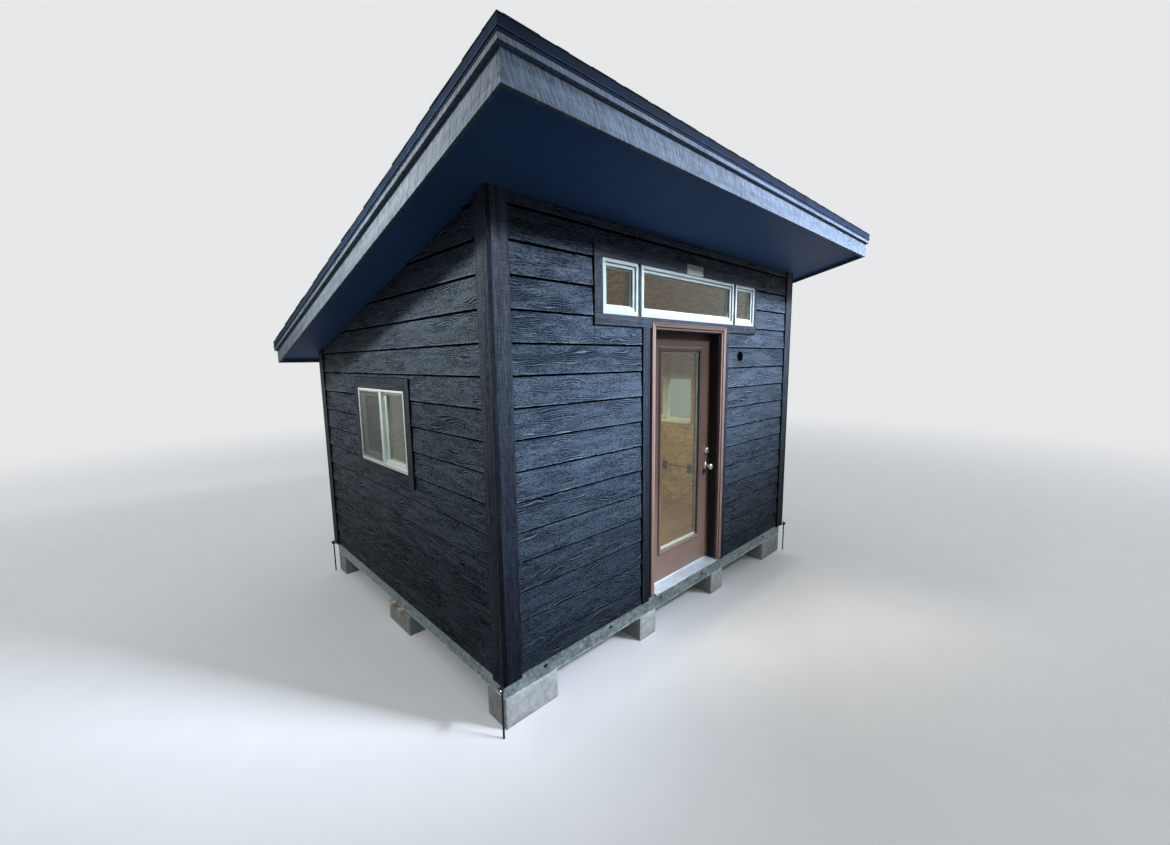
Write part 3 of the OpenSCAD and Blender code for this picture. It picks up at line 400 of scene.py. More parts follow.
MAKERS = {
    # Wood-fibre siding embossed with a cedar grain, sprayed with satin acrylic: the ridges
    # of the grain catch the light, and each board's grain is its own
    "painted_lap_siding": partial(
        surface, ("siding", 0.35), ("siding", 2.2),
        [("noise", (18, 8, 8), 1.0, 0.5, 0.4), ("rings", (44, 12, 12), 0.7, 14.0, 1.1),
         ("noise", (260, 45, 45), 2.0, 1.2, 0.25)], (0.6, 0.42), relief=4.0, tone=0.16,
        # painted shade in each lap's corner and gap, a painted highlight on its nose, and
        # painted shade towards the ground
        contrast=(0.36, 0.65), shine=(0.0, 0.35), lap_shade_and_highlight=True, fades=GROUND_SHADE),
    # Wood-fibre trim with saw marks across a long grain, in the same paint
    "painted_trim_board": partial(
        surface, ("trim", 0.25), ("trim", 2.2),
        [("noise", (90, 6, 6), 4.0, 0.5, 0.5), ("noise", (700, 30, 30), 2.0, 0.5, 0.25),
         ("noise", (7, 50, 50), 2.0, 0.0, 0.25)], (0.64, 0.5), relief=1.4, tone=0.08,
        # painted shade on the boards' narrow sides and towards the ground
        contrast=(0.36, 0.66), shine=(0.05, 0.35), painted_edge_shade=True, fades=TRIM_GROUND_SHADE),
    # The same trim board on the roof's edges, in a paler copy of the trim's paint: painted light
    # for the sky that it faces
    "painted_fascia_board": partial(
        surface, ("fascia", 0.3), ("fascia", 2.1),
        [("noise", (140, 6, 6), 4.0, 0.9, 0.25), ("noise", (900, 60, 60), 2.0, 0.5, 0.25),
         ("saw", (7, 60, 60), 2.0, 0.5, 0.6)], (0.75, 0.6), relief=1.4, tone=0.06,
        contrast=(0.34, 0.66), Specular_IOR_Level=0.28),
    # Smooth sheet, rolled with flat paint: a faint roller stipple
    "rolled_soffit_sheet": partial(
        surface, ("soffit", 0.82), ("soffit", 1.2),
        [("noise", (900, 900, 900), 3.0, 0.4, 0.7), ("noise", (7, 7, 7), 2.0, 0.0, 0.3)],
        (0.5, 0.62), relief=0.25, reads="object", Specular_IOR_Level=0.2),
    # Asphalt shingle: ceramic granules of a few tones pressed into felt
    "granulated_shingle": partial(
        surface, ("shingle", 0.35), ("shingle", 1.9),
        [("chips", (5, 5, 5), 0, 0, 0.6), ("noise", (160, 160, 160), 3.0, 0.3, 0.4)],
        (0.95, 0.85), relief=0.9, reads="object", tone=0.22),
    # Steel drip edge with baked enamel: smooth, matt and nearly black, with a painted highlight
    # along the rim of its hem
    "enamelled_steel_drip": partial(
        surface, "#0f1826", "#1f2f46",
        [("noise", (120, 120, 120), 3.0, 0.2, 1.0)], (0.55, 0.7), relief=0.12,
        reads="object", tone=3.0, Specular_IOR_Level=0.05),
    # Extruded vinyl: an even satin white with faint dust; by tone the side windows are painted
    # lighter and the transoms and screen frames darker, as painted light and shade
    "extruded_white_vinyl": partial(
        surface, ("vinyl", 0.9), ("vinyl", 1.03),
        [("noise", (90, 90, 90), 4.0, 0.4, 0.7), ("noise", (12, 12, 12), 2.0, 0.0, 0.3)],
        (0.3, 0.38), relief=0.1, reads="object", tone=0.34),
    # Moulded fibreglass skin in baked brown paint: satin, painted lighter towards the foot and
    # darker towards the head, as painted light and shade
    "painted_door_skin": partial(
        surface, ("door", 0.86), ("door", 1.12),
        [("noise", (14, 14, 260), 4.0, 0.5, 0.6), ("noise", (300, 300, 300), 2.0, 0.3, 0.4)],
        (0.36, 0.46), relief=0.3, reads="object", shine=(0.4, 0.5),
        fades=((0.4, 1.2, 1.6, 0.55), (1.2, 2.3, 1.0, 0.45))),
    # Primed pine moulding in the same brown, brushed along its length; its head is painted
    # darker and its legs lighter, as painted shade and light
    "brushed_brown_moulding": partial(
        surface, ("frame", 0.8), ("frame", 1.15),
        [("noise", (260, 6, 6), 3.0, 0.3, 0.6), ("noise", (200, 40, 40), 2.0, 0.3, 0.4)],
        (0.38, 0.5), relief=0.35, tone=0.46, shine=(0.35, 0.5)),
    # The frame's jambs, dark bronze, darkened further as painted shade for the depth of the
    # doorway
    "dark_bronze_jamb": partial(
        surface, "#120d13", "#211a21",
        [("noise", (260, 8, 8), 3.0, 0.3, 1.0)], (0.45, 0.6), relief=0.3,
        Specular_IOR_Level=0.3),
    # Mill-finish aluminium: bright, with drawn streaks along its length and light scuffs
    "mill_aluminium": partial(
        surface, "#9fabb3", "#dbe4e9",
        [("noise", (220, 2, 2), 3.0, 0.0, 0.7), ("noise", (90, 90, 90), 3.0, 0.4, 0.3)],
        (0.34, 0.5), relief=0.05, metallic=0.6, reads="object"),
    # Satin nickel plate: soft bright metal with a fine turned brushing
    "satin_nickel_plate": partial(
        surface, "#a39d93", "#cdc8bf",
        [("noise", (30, 30, 2), 2.0, 0.0, 0.6), ("noise", (20, 20, 20), 2.0, 0.0, 0.4)],
        (0.22, 0.36), relief=0.03, metallic=1.0, reads="object"),
    # Hot-dip galvanised steel: zinc spangles of a centimetre or two, dulled by weather, and a
    # painted highlight along the rails' lower edge
    "galvanised_steel": partial(
        surface, "#435154", "#a7b5b5",
        [("chips", (16, 16, 16), 0, 0, 0.45), ("noise", (90, 60, 60), 6.0, 1.6, 0.55)],
        (0.35, 0.6), relief=0.08, metallic=0.85, reads="object",
        fades=((RAIL_Z + 0.006, RAIL_Z + 0.011, 1.9, 1.0),)),
    # Cast concrete block: grey sand and cement with pits
    "cast_concrete": partial(
        surface, "#878c88", "#cdd1cc",
        [("noise", (45, 45, 45), 6.0, 0.4, 0.55), ("pits", (9, 9, 9), 0, 0, 0.45)],
        (0.95, 0.85), relief=2.5, reads="object"),
    # Sawn pine shims: pale, split along the grain
    "sawn_pine": partial(
        surface, "#dccaa2", "#fbf3dd",
        [("noise", (180, 3, 3), 4.0, 0.8, 0.7), ("noise", (300, 18, 18), 2.0, 0.5, 0.3)],
        (0.75, 0.6), relief=0.5, tone=0.08),
    # Spruce framing: pale planed wood
    "planed_spruce": partial(
        surface, "#b0905f", "#e2c797",
        [("noise", (8, 500, 8), 4.0, 0.6, 0.7), ("noise", (30, 600, 30), 2.0, 0.5, 0.3)],
        (0.7, 0.6), relief=0.4, reads="object"),
    # Plywood deck: brown veneer with long bands of grain
    "plywood_deck": partial(
        surface, "#6d5640", "#a88a66",
        [("noise", (600, 14, 30), 5.0, 1.0, 0.6), ("noise", (900, 90, 90), 2.0, 0.5, 0.4)],
        (0.7, 0.6), relief=0.4, reads="object"),
    # Oriented strand board: tan chips, near black on the outer face as painted shade in the gaps
    "strand_board_wall": partial(walled, "#ad9355", "#0e1013"),
    # Moulded black plastic of the wall port: smooth and slightly glossy
    "moulded_black_plastic": partial(
        surface, "#0d0e10", "#1b1d20",
        [("noise", (15, 15, 15), 3.0, 0.2, 1.0)], (0.32, 0.45), relief=0.05, reads="object"),
    # Matt black paint on a steel rod, with slightly rubbed places
    "black_painted_steel": partial(
        surface, "#060708", "#15171a",
        [("noise", (12, 12, 60), 4.0, 0.6, 1.0)], (0.6, 0.75), relief=0.1, reads="object",
        Specular_IOR_Level=0.25),
    # Clamp of plated steel, dulled to a dark grey by weather
    "weathered_clamp_steel": partial(
        surface, "#101416", "#3a4145",
        [("noise", (9, 9, 9), 4.0, 0.5, 1.0)], (0.45, 0.65), relief=0.1, reads="object",
        Specular_IOR_Level=0.4),
    # Zinc-plated nuts: bright and slightly blue
    "zinc_plated_steel": partial(
        surface, "#c9d0d5", "#f3f7f9",
        [("noise", (14, 14, 14), 4.0, 0.5, 1.0)], (0.15, 0.3), relief=0.03, metallic=1.0,
        reads="object"),
    # Pale printed card without print: a blank plate, faintly mottled
    "blank_pale_plate": partial(
        surface, "#9aa195", "#c9cdbf",
        [("noise", (25, 25, 25), 4.0, 0.5, 1.0)], (0.5, 0.6), relief=0.15, reads="object"),
    # Spacer bar between the panes: matt and pale
    "pale_spacer_bar": partial(
        surface, "#dcd9cf", "#fbfaf5",
        [("noise", (6, 6, 6), 2.0, 0.0, 1.0)], (0.4, 0.5), relief=0.05, reads="object"),
    # Extruded rubber gasket round the door: matt and soft
    "rubber_gasket": partial(
        surface, "#1f1816", "#332825",
        [("noise", (9, 9, 9), 2.0, 0.0, 1.0)], (0.75, 0.85), relief=0.1, reads="object"),
    # Float glass: clear and faintly green
    "clear_float_glass": partial(clear_glass, "#f5f8f4"),
    # The side windows' glass, coated against the sun: a darker grey-green
    "coated_window_glass": partial(clear_glass, "#c3cbbf"),
    # Woven fibreglass screen: a dark net that reads as a grey veil
    "woven_fibreglass_screen": insect_screen,
}


# Places and meshes

def plain(x, y, z):
    """A place in the frame itself."""
    return Vector((x, y, z))


def front(u, d, z):
    """A place in the front wall: along it, in from its trim face, and up."""
    return Vector((u, FACE_Y + d, z))


def left(u, d, z):
    """A place in the left wall, counted along it from the front trim face."""
    return Vector((-SIDE_X + d, FACE_Y + u, z))


def right(u, d, z):
    """The same in the right wall."""
    return Vector((SIDE_X - d, FACE_Y + u, z))


def back(u, d, z):
    """A place in the back wall."""
    return Vector((u, BACK_Y - d, z))


def rafter_z(y):
    """Height of the rafters' underside at y."""
    low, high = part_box("rafters")
    return low.z + (high.y - y) * SLOPE


def islands(bm):
    """The mesh's separate bodies, each as its vertices, in a fixed order."""
    seen, groups = set(), []
    for first in bm.verts:
        if first in seen:
            continue
        seen.add(first)
        group, stack = [], [first]
        while stack:
            at = stack.pop()
            group.append(at)
            for edge in at.link_edges:
                other = edge.other_vert(at)
                if other not in seen:
                    seen.add(other)
                    stack.append(other)
        groups.append(group)
    return groups


def span(group):
    """The two corners of the box round some vertices."""
    low = Vector([min(v.co[i] for v in group) for i in range(3)])
    high = Vector([max(v.co[i] for v in group) for i in range(3)])
    return low, high


def lay_grain(bm, seed, lean=False):
    """Gives each board a grain along its longest side, and a tone of its own."""
    grain = bm.verts.layers.float_vector.new("grain")
    tone = bm.verts.layers.float.new("tone")
    side = bm.faces.layers.float.new("edge")
    draw = random.Random(seed)
    for group in islands(bm):
        flat = [v.co + Vector((0, 0, v.co.y * SLOPE if lean else 0)) for v in group]
        size = [max(p[i] for p in flat) - min(p[i] for p in flat) for i in range(3)]
        order = sorted(range(3), key=lambda i: -size[i])
        for face in {f for v in group for f in v.link_faces}:
            # faces on a board's narrow sides are marked for the trim's painted edge shade
            face[side] = float(abs(face.normal[order[1]]) > 0.7)
        shift = Vector([draw.uniform(0, 30) for _ in range(3)])
        own = draw.random()
        for v, p in zip(group, flat):
            v[grain] = Vector([p[i] for i in order]) + shift
            v[tone] = own


def put_in_order(bm):
    """Puts the edges and faces in the order of their points. A bevel or a cut leaves them in
    a different order on each run, and the same script has to give the same mesh."""
    bm.verts.index_update()
    count = len(bm.verts)

    def number(item):
        total = 0
        for index in sorted(v.index for v in item.verts)[:3]:
            total = total * count + index
        return total

    for items in (bm.edges, bm.faces):
        items.sort(key=number)
        items.index_update()


def ease_edges(bm, width, angle=35, segments=2):
    """Rounds the sharp edges of each body by itself."""
    put_in_order(bm)
    for group in islands(bm):
        low, high = span(group)
        room = min(width, 0.3 * min(high - low))
        edges = {e for v in group for e in v.link_edges
                 if e.is_manifold and e.calc_face_angle() > math.radians(angle)}
        edges = sorted(edges, key=lambda e: e.index)
        if edges and room > 0:
            bmesh.ops.bevel(bm, geom=edges, offset=room, segments=segments, profile=0.6,
                            affect="EDGES", clamp_overlap=True)
        bm.edges.index_update()
    put_in_order(bm)


def mesh_of(bm, name):
    """A bmesh as a plain mesh. The bmesh is freed."""
    mesh = bpy.data.meshes.new(name)
    bm.to_mesh(mesh)
    bm.free()
    return mesh


def piece(name, source, material, body, replaced=(), smooth=None):
    """Turns a bmesh or a mesh into a finished piece that rides on a body."""
    mesh = source
    if isinstance(source, bmesh.types.BMesh):
        bmesh.ops.recalc_face_normals(source, faces=source.faces)
        mesh = mesh_of(source, name)
    mesh.name = name
    mesh.materials.clear()
    mesh.materials.append(finish(material))
    if smooth:
        mesh.shade_smooth()
        mesh.set_sharp_from_angle(angle=math.radians(smooth))
    made = bpy.data.objects.new(name, mesh)
    bpy.context.scene.collection.objects.link(made)
    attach(made, body)
    if replaced:
        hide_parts(*replaced)
    return made


def cad_copy(node):
    """A merged copy of a CAD node's mesh with its flat faces whole."""
    bm = bmesh.new()
    bm.from_mesh(frame["nodes"][node].data)
    bmesh.ops.remove_doubles(bm, verts=bm.verts, dist=2e-6)
    bmesh.ops.dissolve_limit(bm, angle_limit=math.radians(0.5), verts=bm.verts,
                             edges=bm.edges)
    bmesh.ops.recalc_face_normals(bm, faces=bm.faces)
    return bm


def softened(node, name, material, ease, body="pod", seed=1, lean=False):
    """A CAD node's own shape with eased edges and a grain along each board."""
    bm = cad_copy(node)
    lay_grain(bm, seed, lean)
    ease_edges(bm, ease)
    return piece(name, bm, material, body, [node])


def dress(node, material):
    """Puts a finish on a CAD node that stays as it is."""
    mesh = frame["nodes"][node].data
    mesh.materials.clear()
    mesh.materials.append(finish(material))


def box(bm, place, low, high):
    """A block between two corners, laid in a wall by place."""
    at = [place(*[(low, high)[k >> i & 1][i] for i in range(3)]) for k in range(8)]
    verts = [bm.verts.new(p) for p in at]
    for ring in ((0, 1, 3, 2), (4, 6, 7, 5), (0, 4, 5, 1), (2, 3, 7, 6), (0, 2, 6, 4),
                 (1, 5, 7, 3)):
        bm.faces.new([verts[i] for i in ring])


def lofted(bm, stations, ring=True, closed=True):
    """Skins a row of outlines and gives back its points. ring joins the last outline to
    the first, closed an outline's last point to its first."""
    rows = [[bm.verts.new(p) for p in points] for points in stations]
    size = len(rows[0])
    for a in range(len(rows) if ring else len(rows) - 1):
        one, two = rows[a], rows[(a + 1) % len(rows)]
        for i in range(size if closed else size - 1):
            j = (i + 1) % size
            bm.faces.new((one[i], one[j], two[j], two[i]))
    if not ring:
        bm.faces.new(rows[0])
        bm.faces.new(rows[-1][::-1])
    return [v for row in rows for v in row]


def mitred(bm, place, u0, u1, z0, z1, profile, foot=1.0):
    """A frame with mitred corners. profile is (inset from the outer edge, depth); foot
    widens its lower side."""
    stations = []
    for side_u, side_z in ((0, 0), (1, 0), (1, 1), (0, 1)):
        stations.append([place(u1 - i if side_u else u0 + i, d,
                               z1 - i if side_z else z0 + i * foot) for i, d in profile])
    lofted(bm, stations)


def turned(bm, centre, axis, outline, steps=32):
    """A turned shape: outline is (radius, distance along the axis)."""
    axis = Vector(axis).normalized()
    across = axis.orthogonal().normalized()
    other = axis.cross(across)
    stations = []
    for k in range(steps):
        turn = 2 * math.pi * k / steps
        out = across * math.cos(turn) + other * math.sin(turn)
        stations.append([Vector(centre) + out * r + axis * h for r, h in outline])
    made = lofted(bm, stations, closed=False)
    bmesh.ops.remove_doubles(bm, verts=made, dist=1e-6)


# Geometry node trees

def node_group(name, sockets):
    """An empty geometry tree with its geometry sockets and named inputs."""
    tree = bpy.data.node_groups.new(name, "GeometryNodeTree")
    tree.interface.new_socket("Geometry", in_out="INPUT", socket_type="NodeSocketGeometry")
    for label, kind, default in sockets:
        made = tree.interface.new_socket(label, in_out="INPUT", socket_type="NodeSocket" + kind)
        if default is not None:
            made.default_value = default
    tree.interface.new_socket("Geometry", in_out="OUTPUT", socket_type="NodeSocketGeometry")
    return tree, add(tree, "NodeGroupInput").outputs


TREES = {}


def grown(name, make, base, values):
    """Runs a tree on a base mesh and gives back the plain mesh that it makes. The tree
    itself is made when it is first asked for."""
    if make not in TREES:
        TREES[make] = make()
    tree = TREES[make]
    carrier = bpy.data.objects.new(name, base)
    grower = carrier.modifiers.new("grow", "NODES")
    grower.node_group = tree
    sockets = {item.name: item.identifier for item in tree.interface.items_tree
               if item.item_type == "SOCKET" and item.in_out == "INPUT"}
    for label, value in values.items():
        grower[sockets[label]] = value
    bpy.context.scene.collection.objects.link(carrier)
    seen = carrier.evaluated_get(bpy.context.evaluated_depsgraph_get())
    mesh = bpy.data.meshes.new_from_object(seen)
    carrier.modifiers.remove(grower)
    bpy.data.objects.remove(carrier)
    return mesh


def coat(tree, given, mesh):
    """Gives a tree's mesh its material and leads it to the output."""
    coated = add(tree, "GeometryNodeSetMaterial", {
        "Geometry": mesh, "Material": given["Material"]})
    add(tree, "NodeGroupOutput", {"Geometry": coated})
    return tree


def lap_board_tree():
    """Lap boards out of flat outlines: thick at the foot, thin at the top, slightly wavy."""
    stock_thickness = 0.001
    tree, given = node_group("Lap boards", [
        ("Foot Thickness", "Float", 0.0155), ("Top Thickness", "Float", 0.0075),
        ("Lap Height", "Float", 0.1778), ("Waviness", "Float", 0.001),
        ("Outward", "Vector", (0.0, -1.0, 0.0)), ("Seed", "Float", 0.0),
        ("Material", "Material", None)])
    stock = add(tree, "GeometryNodeExtrudeMesh", {
        "Mesh": given["Geometry"], "Offset": given["Outward"],
        "Offset Scale": stock_thickness, "Individual": False}, mode="FACES")
    place = add(tree, "GeometryNodeInputPosition")
    height = add(tree, "ShaderNodeSeparateXYZ", {0: place}).outputs[2]
    foot = add(tree, "GeometryNodeInputNamedAttribute", {"Name": "foot"}, data_type="FLOAT")
    rise = add(tree, "ShaderNodeMath", {
        0: add(tree, "ShaderNodeMath", {0: height, 1: foot}, operation="SUBTRACT"),
        1: given["Lap Height"]}, operation="DIVIDE")
    taper = add(tree, "ShaderNodeMapRange", {
        "Value": rise, "To Min": given["Foot Thickness"], "To Max": given["Top Thickness"]})
    bow = add(tree, "ShaderNodeTexNoise", {
        "Vector": place, "W": add(tree, "ShaderNodeMath", {
            0: foot, 1: 7.0, 2: given["Seed"]}, operation="MULTIPLY_ADD"),
        "Scale": 1.7, "Detail": 1.0}, noise_dimensions="4D")
    swing = add(tree, "ShaderNodeMath", {
        0: add(tree, "ShaderNodeMath", {0: bow, 1: 0.5}, operation="SUBTRACT"),
        1: given["Waviness"]}, operation="MULTIPLY")
    depth = add(tree, "ShaderNodeMath", {0: taper, 1: swing}, operation="ADD")
    more = add(tree, "ShaderNodeMath", {0: depth, 1: stock_thickness},
               operation="SUBTRACT")
    shift = add(tree, "ShaderNodeVectorMath", {0: given["Outward"], "Scale": more},
                operation="SCALE")
    faces = add(tree, "GeometryNodeSetPosition", {
        "Geometry": stock.outputs["Mesh"], "Selection": stock.outputs["Top"],
        "Offset": shift})
    rear = add(tree, "GeometryNodeFlipFaces", {"Mesh": given["Geometry"]})
    both = add(tree, "GeometryNodeJoinGeometry", {"Geometry": [faces, rear]})
    whole = add(tree, "GeometryNodeMergeByDistance", {"Geometry": both, "Distance": 1e-5})
    solid = add(tree, "GeometryNodeRealizeInstances", {"Geometry": whole})
    return coat(tree, given, solid)


def shingle_tree():
    """Courses of shingle strips with raised tabs, flat on XY, the eave along X at y = 0."""
    tree, given = node_group("Shingle courses", [
        ("Width", "Float", 4.3), ("Length", "Float", 4.1), ("Course", "Float", 0.144),
        ("Tab Pitch", "Float", 0.2), ("Strip Thickness", "Float", 0.003),
        ("Tab Thickness", "Float", 0.0022), ("Butt Lift", "Float", 0.0035),
        ("Seed", "Int", 0), ("Material", "Material", None)])
    rows = add(tree, "ShaderNodeMath", {0: given["Length"], 1: given["Course"]},
               operation="DIVIDE")
    courses = add(tree, "ShaderNodeMath", {0: rows}, operation="CEIL")
    tilt = add(tree, "ShaderNodeMath", {
        0: add(tree, "ShaderNodeMath", {0: given["Butt Lift"], 1: given["Course"]},
               operation="DIVIDE"), 1: -1.0}, operation="MULTIPLY")
    turn = add(tree, "ShaderNodeCombineXYZ", {0: tilt})
    lift = add(tree, "ShaderNodeCombineXYZ", {2: given["Butt Lift"]})
    upward = add(tree, "ShaderNodeCombineXYZ", {1: given["Course"]})

    def laid(wide, thick, long, rise, points, seed, low, high, jitter):
        half = add(tree, "ShaderNodeMath", {0: long, 1: 0.5}, operation="MULTIPLY")
        mid = add(tree, "ShaderNodeMath", {0: thick, 1: 0.5, 2: rise},
                  operation="MULTIPLY_ADD")
        cube = add(tree, "GeometryNodeMeshCube", {
            "Size": add(tree, "ShaderNodeCombineXYZ", {0: wide, 1: long, 2: thick})})
        stock = add(tree, "GeometryNodeTransform", {
            "Geometry": cube, "Translation": add(
                tree, "ShaderNodeCombineXYZ", {1: half, 2: mid})})
        number = add(tree, "ShaderNodeMath", {0: given["Seed"], 1: seed}, operation="ADD")
        spread = add(tree, "FunctionNodeRandomValue", {2: low, 3: high, "Seed": number},
                     data_type="FLOAT")
        size = add(tree, "ShaderNodeCombineXYZ", {0: spread.outputs[1], 1: 1.0, 2: 1.0})
        sway = add(tree, "FunctionNodeRandomValue", {
            0: (-jitter, -0.0015, 0.0), 1: (jitter, 0.0015, 0.0), "Seed": add(
                tree, "ShaderNodeMath", {0: number, 1: 5.0}, operation="ADD")},
            data_type="FLOAT_VECTOR")
        moved = add(tree, "GeometryNodeSetPosition", {
            "Geometry": points, "Offset": sway.outputs[0]})
        placed = add(tree, "GeometryNodeInstanceOnPoints", {
            "Points": moved, "Instance": stock, "Rotation": turn, "Scale": size})
        own = add(tree, "FunctionNodeRandomValue", {2: 0.0, 3: 1.0, "Seed": add(
            tree, "ShaderNodeMath", {0: number, 1: 9.0}, operation="ADD")},
            data_type="FLOAT")
        return add(tree, "GeometryNodeStoreNamedAttribute", {
            "Geometry": placed, "Name": "tone", "Value": own.outputs[1]},
            data_type="FLOAT", domain="INSTANCE")

    strip_line = add(tree, "GeometryNodeMeshLine", {
        "Count": courses, "Start Location": lift, "Offset": upward}, mode="OFFSET")
    strip_long = add(tree, "ShaderNodeMath", {0: given["Course"], 1: 0.03}, operation="ADD")
    strips = laid(given["Width"], given["Strip Thickness"], strip_long, 0.0, strip_line, 1.0,
                  0.9985, 1.0, 0.0015)
    tabs = add(tree, "ShaderNodeMath", {
        0: add(tree, "ShaderNodeMath", {0: given["Width"], 1: given["Tab Pitch"]},
               operation="DIVIDE")}, operation="FLOOR")
    inner = add(tree, "ShaderNodeMath", {0: given["Width"], 1: given["Tab Pitch"]},
                operation="SUBTRACT")
    reach = add(tree, "ShaderNodeMath", {
        0: add(tree, "ShaderNodeMath", {0: courses, 1: 1.0}, operation="SUBTRACT"),
        1: given["Course"]}, operation="MULTIPLY")
    grid = add(tree, "GeometryNodeMeshGrid", {
        "Size X": inner, "Size Y": reach, "Vertices X": tabs, "Vertices Y": courses})
    middle = add(tree, "ShaderNodeMath", {0: reach, 1: 0.5}, operation="MULTIPLY")
    raised = add(tree, "GeometryNodeSetPosition", {
        "Geometry": grid, "Offset": add(tree, "ShaderNodeCombineXYZ", {
            1: middle, 2: given["Butt Lift"]})})
    tab_wide = add(tree, "ShaderNodeMath", {0: given["Tab Pitch"], 1: 0.6},
                   operation="MULTIPLY")
    tab_long = add(tree, "ShaderNodeMath", {0: given["Course"], 1: 0.002},
                   operation="SUBTRACT")
    teeth = laid(tab_wide, given["Tab Thickness"], tab_long, given["Strip Thickness"],
                 raised, 2.0, 0.45, 1.5, 0.03)
    whole = add(tree, "GeometryNodeRealizeInstances", {
        "Geometry": add(tree, "GeometryNodeJoinGeometry", {"Geometry": [strips, teeth]})})
    place = add(tree, "GeometryNodeInputPosition")
    parts = add(tree, "ShaderNodeSeparateXYZ", {0: place})
    half_w = add(tree, "ShaderNodeMath", {0: given["Width"], 1: 0.5}, operation="MULTIPLY")
    minus_w = add(tree, "ShaderNodeMath", {0: half_w, 1: -1.0}, operation="MULTIPLY")
    held = add(tree, "ShaderNodeCombineXYZ", {
        0: add(tree, "ShaderNodeClamp", {0: parts.outputs[0], 1: minus_w, 2: half_w}),
        1: add(tree, "ShaderNodeClamp", {0: parts.outputs[1], 1: 0.0, 2: given["Length"]}),
        2: add(tree, "ShaderNodeMath", {0: parts.outputs[2], 1: 0.0002},
               operation="MAXIMUM")})
    trimmed = add(tree, "GeometryNodeSetPosition", {"Geometry": whole, "Position": held})
    return coat(tree, given, trimmed)


def nail_tree():
    """Nail heads at a spacing along lines; each line says which way is outward."""
    tree, given = node_group("Nail heads", [
        ("Spacing", "Float", 0.4), ("Head", "Float", 0.007), ("Proud", "Float", 0.0006),
        ("Wander", "Float", 0.006), ("Seed", "Int", 0), ("Material", "Material", None)])
    line = add(tree, "GeometryNodeMeshToCurve", {"Mesh": given["Geometry"]})
    spots = add(tree, "GeometryNodeResampleCurve", {
        "Curve": line, "Length": given["Spacing"]}, mode="LENGTH")
    minus = add(tree, "ShaderNodeMath", {0: given["Wander"], 1: -1.0}, operation="MULTIPLY")
    along = add(tree, "FunctionNodeRandomValue", {
        2: minus, 3: given["Wander"], "Seed": given["Seed"]}, data_type="FLOAT")
    moved = add(tree, "GeometryNodeSetPosition", {
        "Geometry": spots, "Offset": add(tree, "ShaderNodeVectorMath", {
            0: add(tree, "GeometryNodeInputTangent"), "Scale": along.outputs[1]},
            operation="SCALE")})
    radius = add(tree, "ShaderNodeMath", {0: given["Head"], 1: 0.5}, operation="MULTIPLY")
    rim = add(tree, "ShaderNodeMath", {0: radius, 1: 0.7}, operation="MULTIPLY")
    head = add(tree, "GeometryNodeMeshCone", {
        "Vertices": 10, "Radius Top": rim, "Radius Bottom": radius, "Depth": given["Proud"]})
    outward = add(tree, "GeometryNodeInputNamedAttribute", {"Name": "outward"},
                  data_type="FLOAT_VECTOR")
    facing = add(tree, "FunctionNodeAlignRotationToVector", {"Vector": outward}, axis="Z")
    placed = add(tree, "GeometryNodeInstanceOnPoints", {
        "Points": moved, "Instance": head, "Rotation": facing})
    whole = add(tree, "GeometryNodeRealizeInstances", {"Geometry": placed})
    return coat(tree, given, whole)


def screw_tree():
    """Countersunk screw heads with a cross recess, one at each point, facing outward."""
    tree, given = node_group("Screw heads", [
        ("Head", "Float", 0.0078), ("Proud", "Float", 0.001), ("Seed", "Int", 0),
        ("Material", "Material", None)])
    radius = add(tree, "ShaderNodeMath", {0: given["Head"], 1: 0.5}, operation="MULTIPLY")
    crown = add(tree, "ShaderNodeMath", {0: radius, 1: 0.8}, operation="MULTIPLY")
    dome = add(tree, "GeometryNodeMeshCone", {
        "Vertices": 16, "Radius Top": crown, "Radius Bottom": radius,
        "Depth": given["Proud"]})
    arm = add(tree, "ShaderNodeMath", {0: given["Head"], 1: 0.62}, operation="MULTIPLY")
    slot = add(tree, "ShaderNodeMath", {0: given["Head"], 1: 0.14}, operation="MULTIPLY")
    bars = [add(tree, "GeometryNodeTransform", {
        "Geometry": add(tree, "GeometryNodeMeshCube", {
            "Size": add(tree, "ShaderNodeCombineXYZ", {a: arm, b: slot, 2: given["Proud"]})}),
        "Translation": add(tree, "ShaderNodeCombineXYZ", {2: add(
            tree, "ShaderNodeMath", {0: given["Proud"], 1: 0.8}, operation="MULTIPLY")})})
        for a, b in ((0, 1), (1, 0))]
    cut = dome
    for bar in bars:
        cut = add(tree, "GeometryNodeMeshBoolean", {0: cut, 1: bar}, operation="DIFFERENCE",
                  solver="EXACT")
    outward = add(tree, "GeometryNodeInputNamedAttribute", {"Name": "outward"},
                  data_type="FLOAT_VECTOR")
    facing = add(tree, "FunctionNodeAlignRotationToVector", {"Vector": outward}, axis="Z")
    twist = add(tree, "FunctionNodeRandomValue", {2: 0.0, 3: 1.57, "Seed": given["Seed"]},
                data_type="FLOAT")
    spin = add(tree, "FunctionNodeRotateRotation", {
        0: facing, 1: add(tree, "ShaderNodeCombineXYZ", {2: twist.outputs[1]})},
        rotation_space="LOCAL")
    placed = add(tree, "GeometryNodeInstanceOnPoints", {
        "Points": given["Geometry"], "Instance": cut, "Rotation": spin})
    whole = add(tree, "GeometryNodeRealizeInstances", {"Geometry": placed})
    return coat(tree, given, whole)


# Siding

# Length of the cells that let a board bow, and the gap that keeps a board a body of its own
CELL = 0.16
HAIR = 0.0004


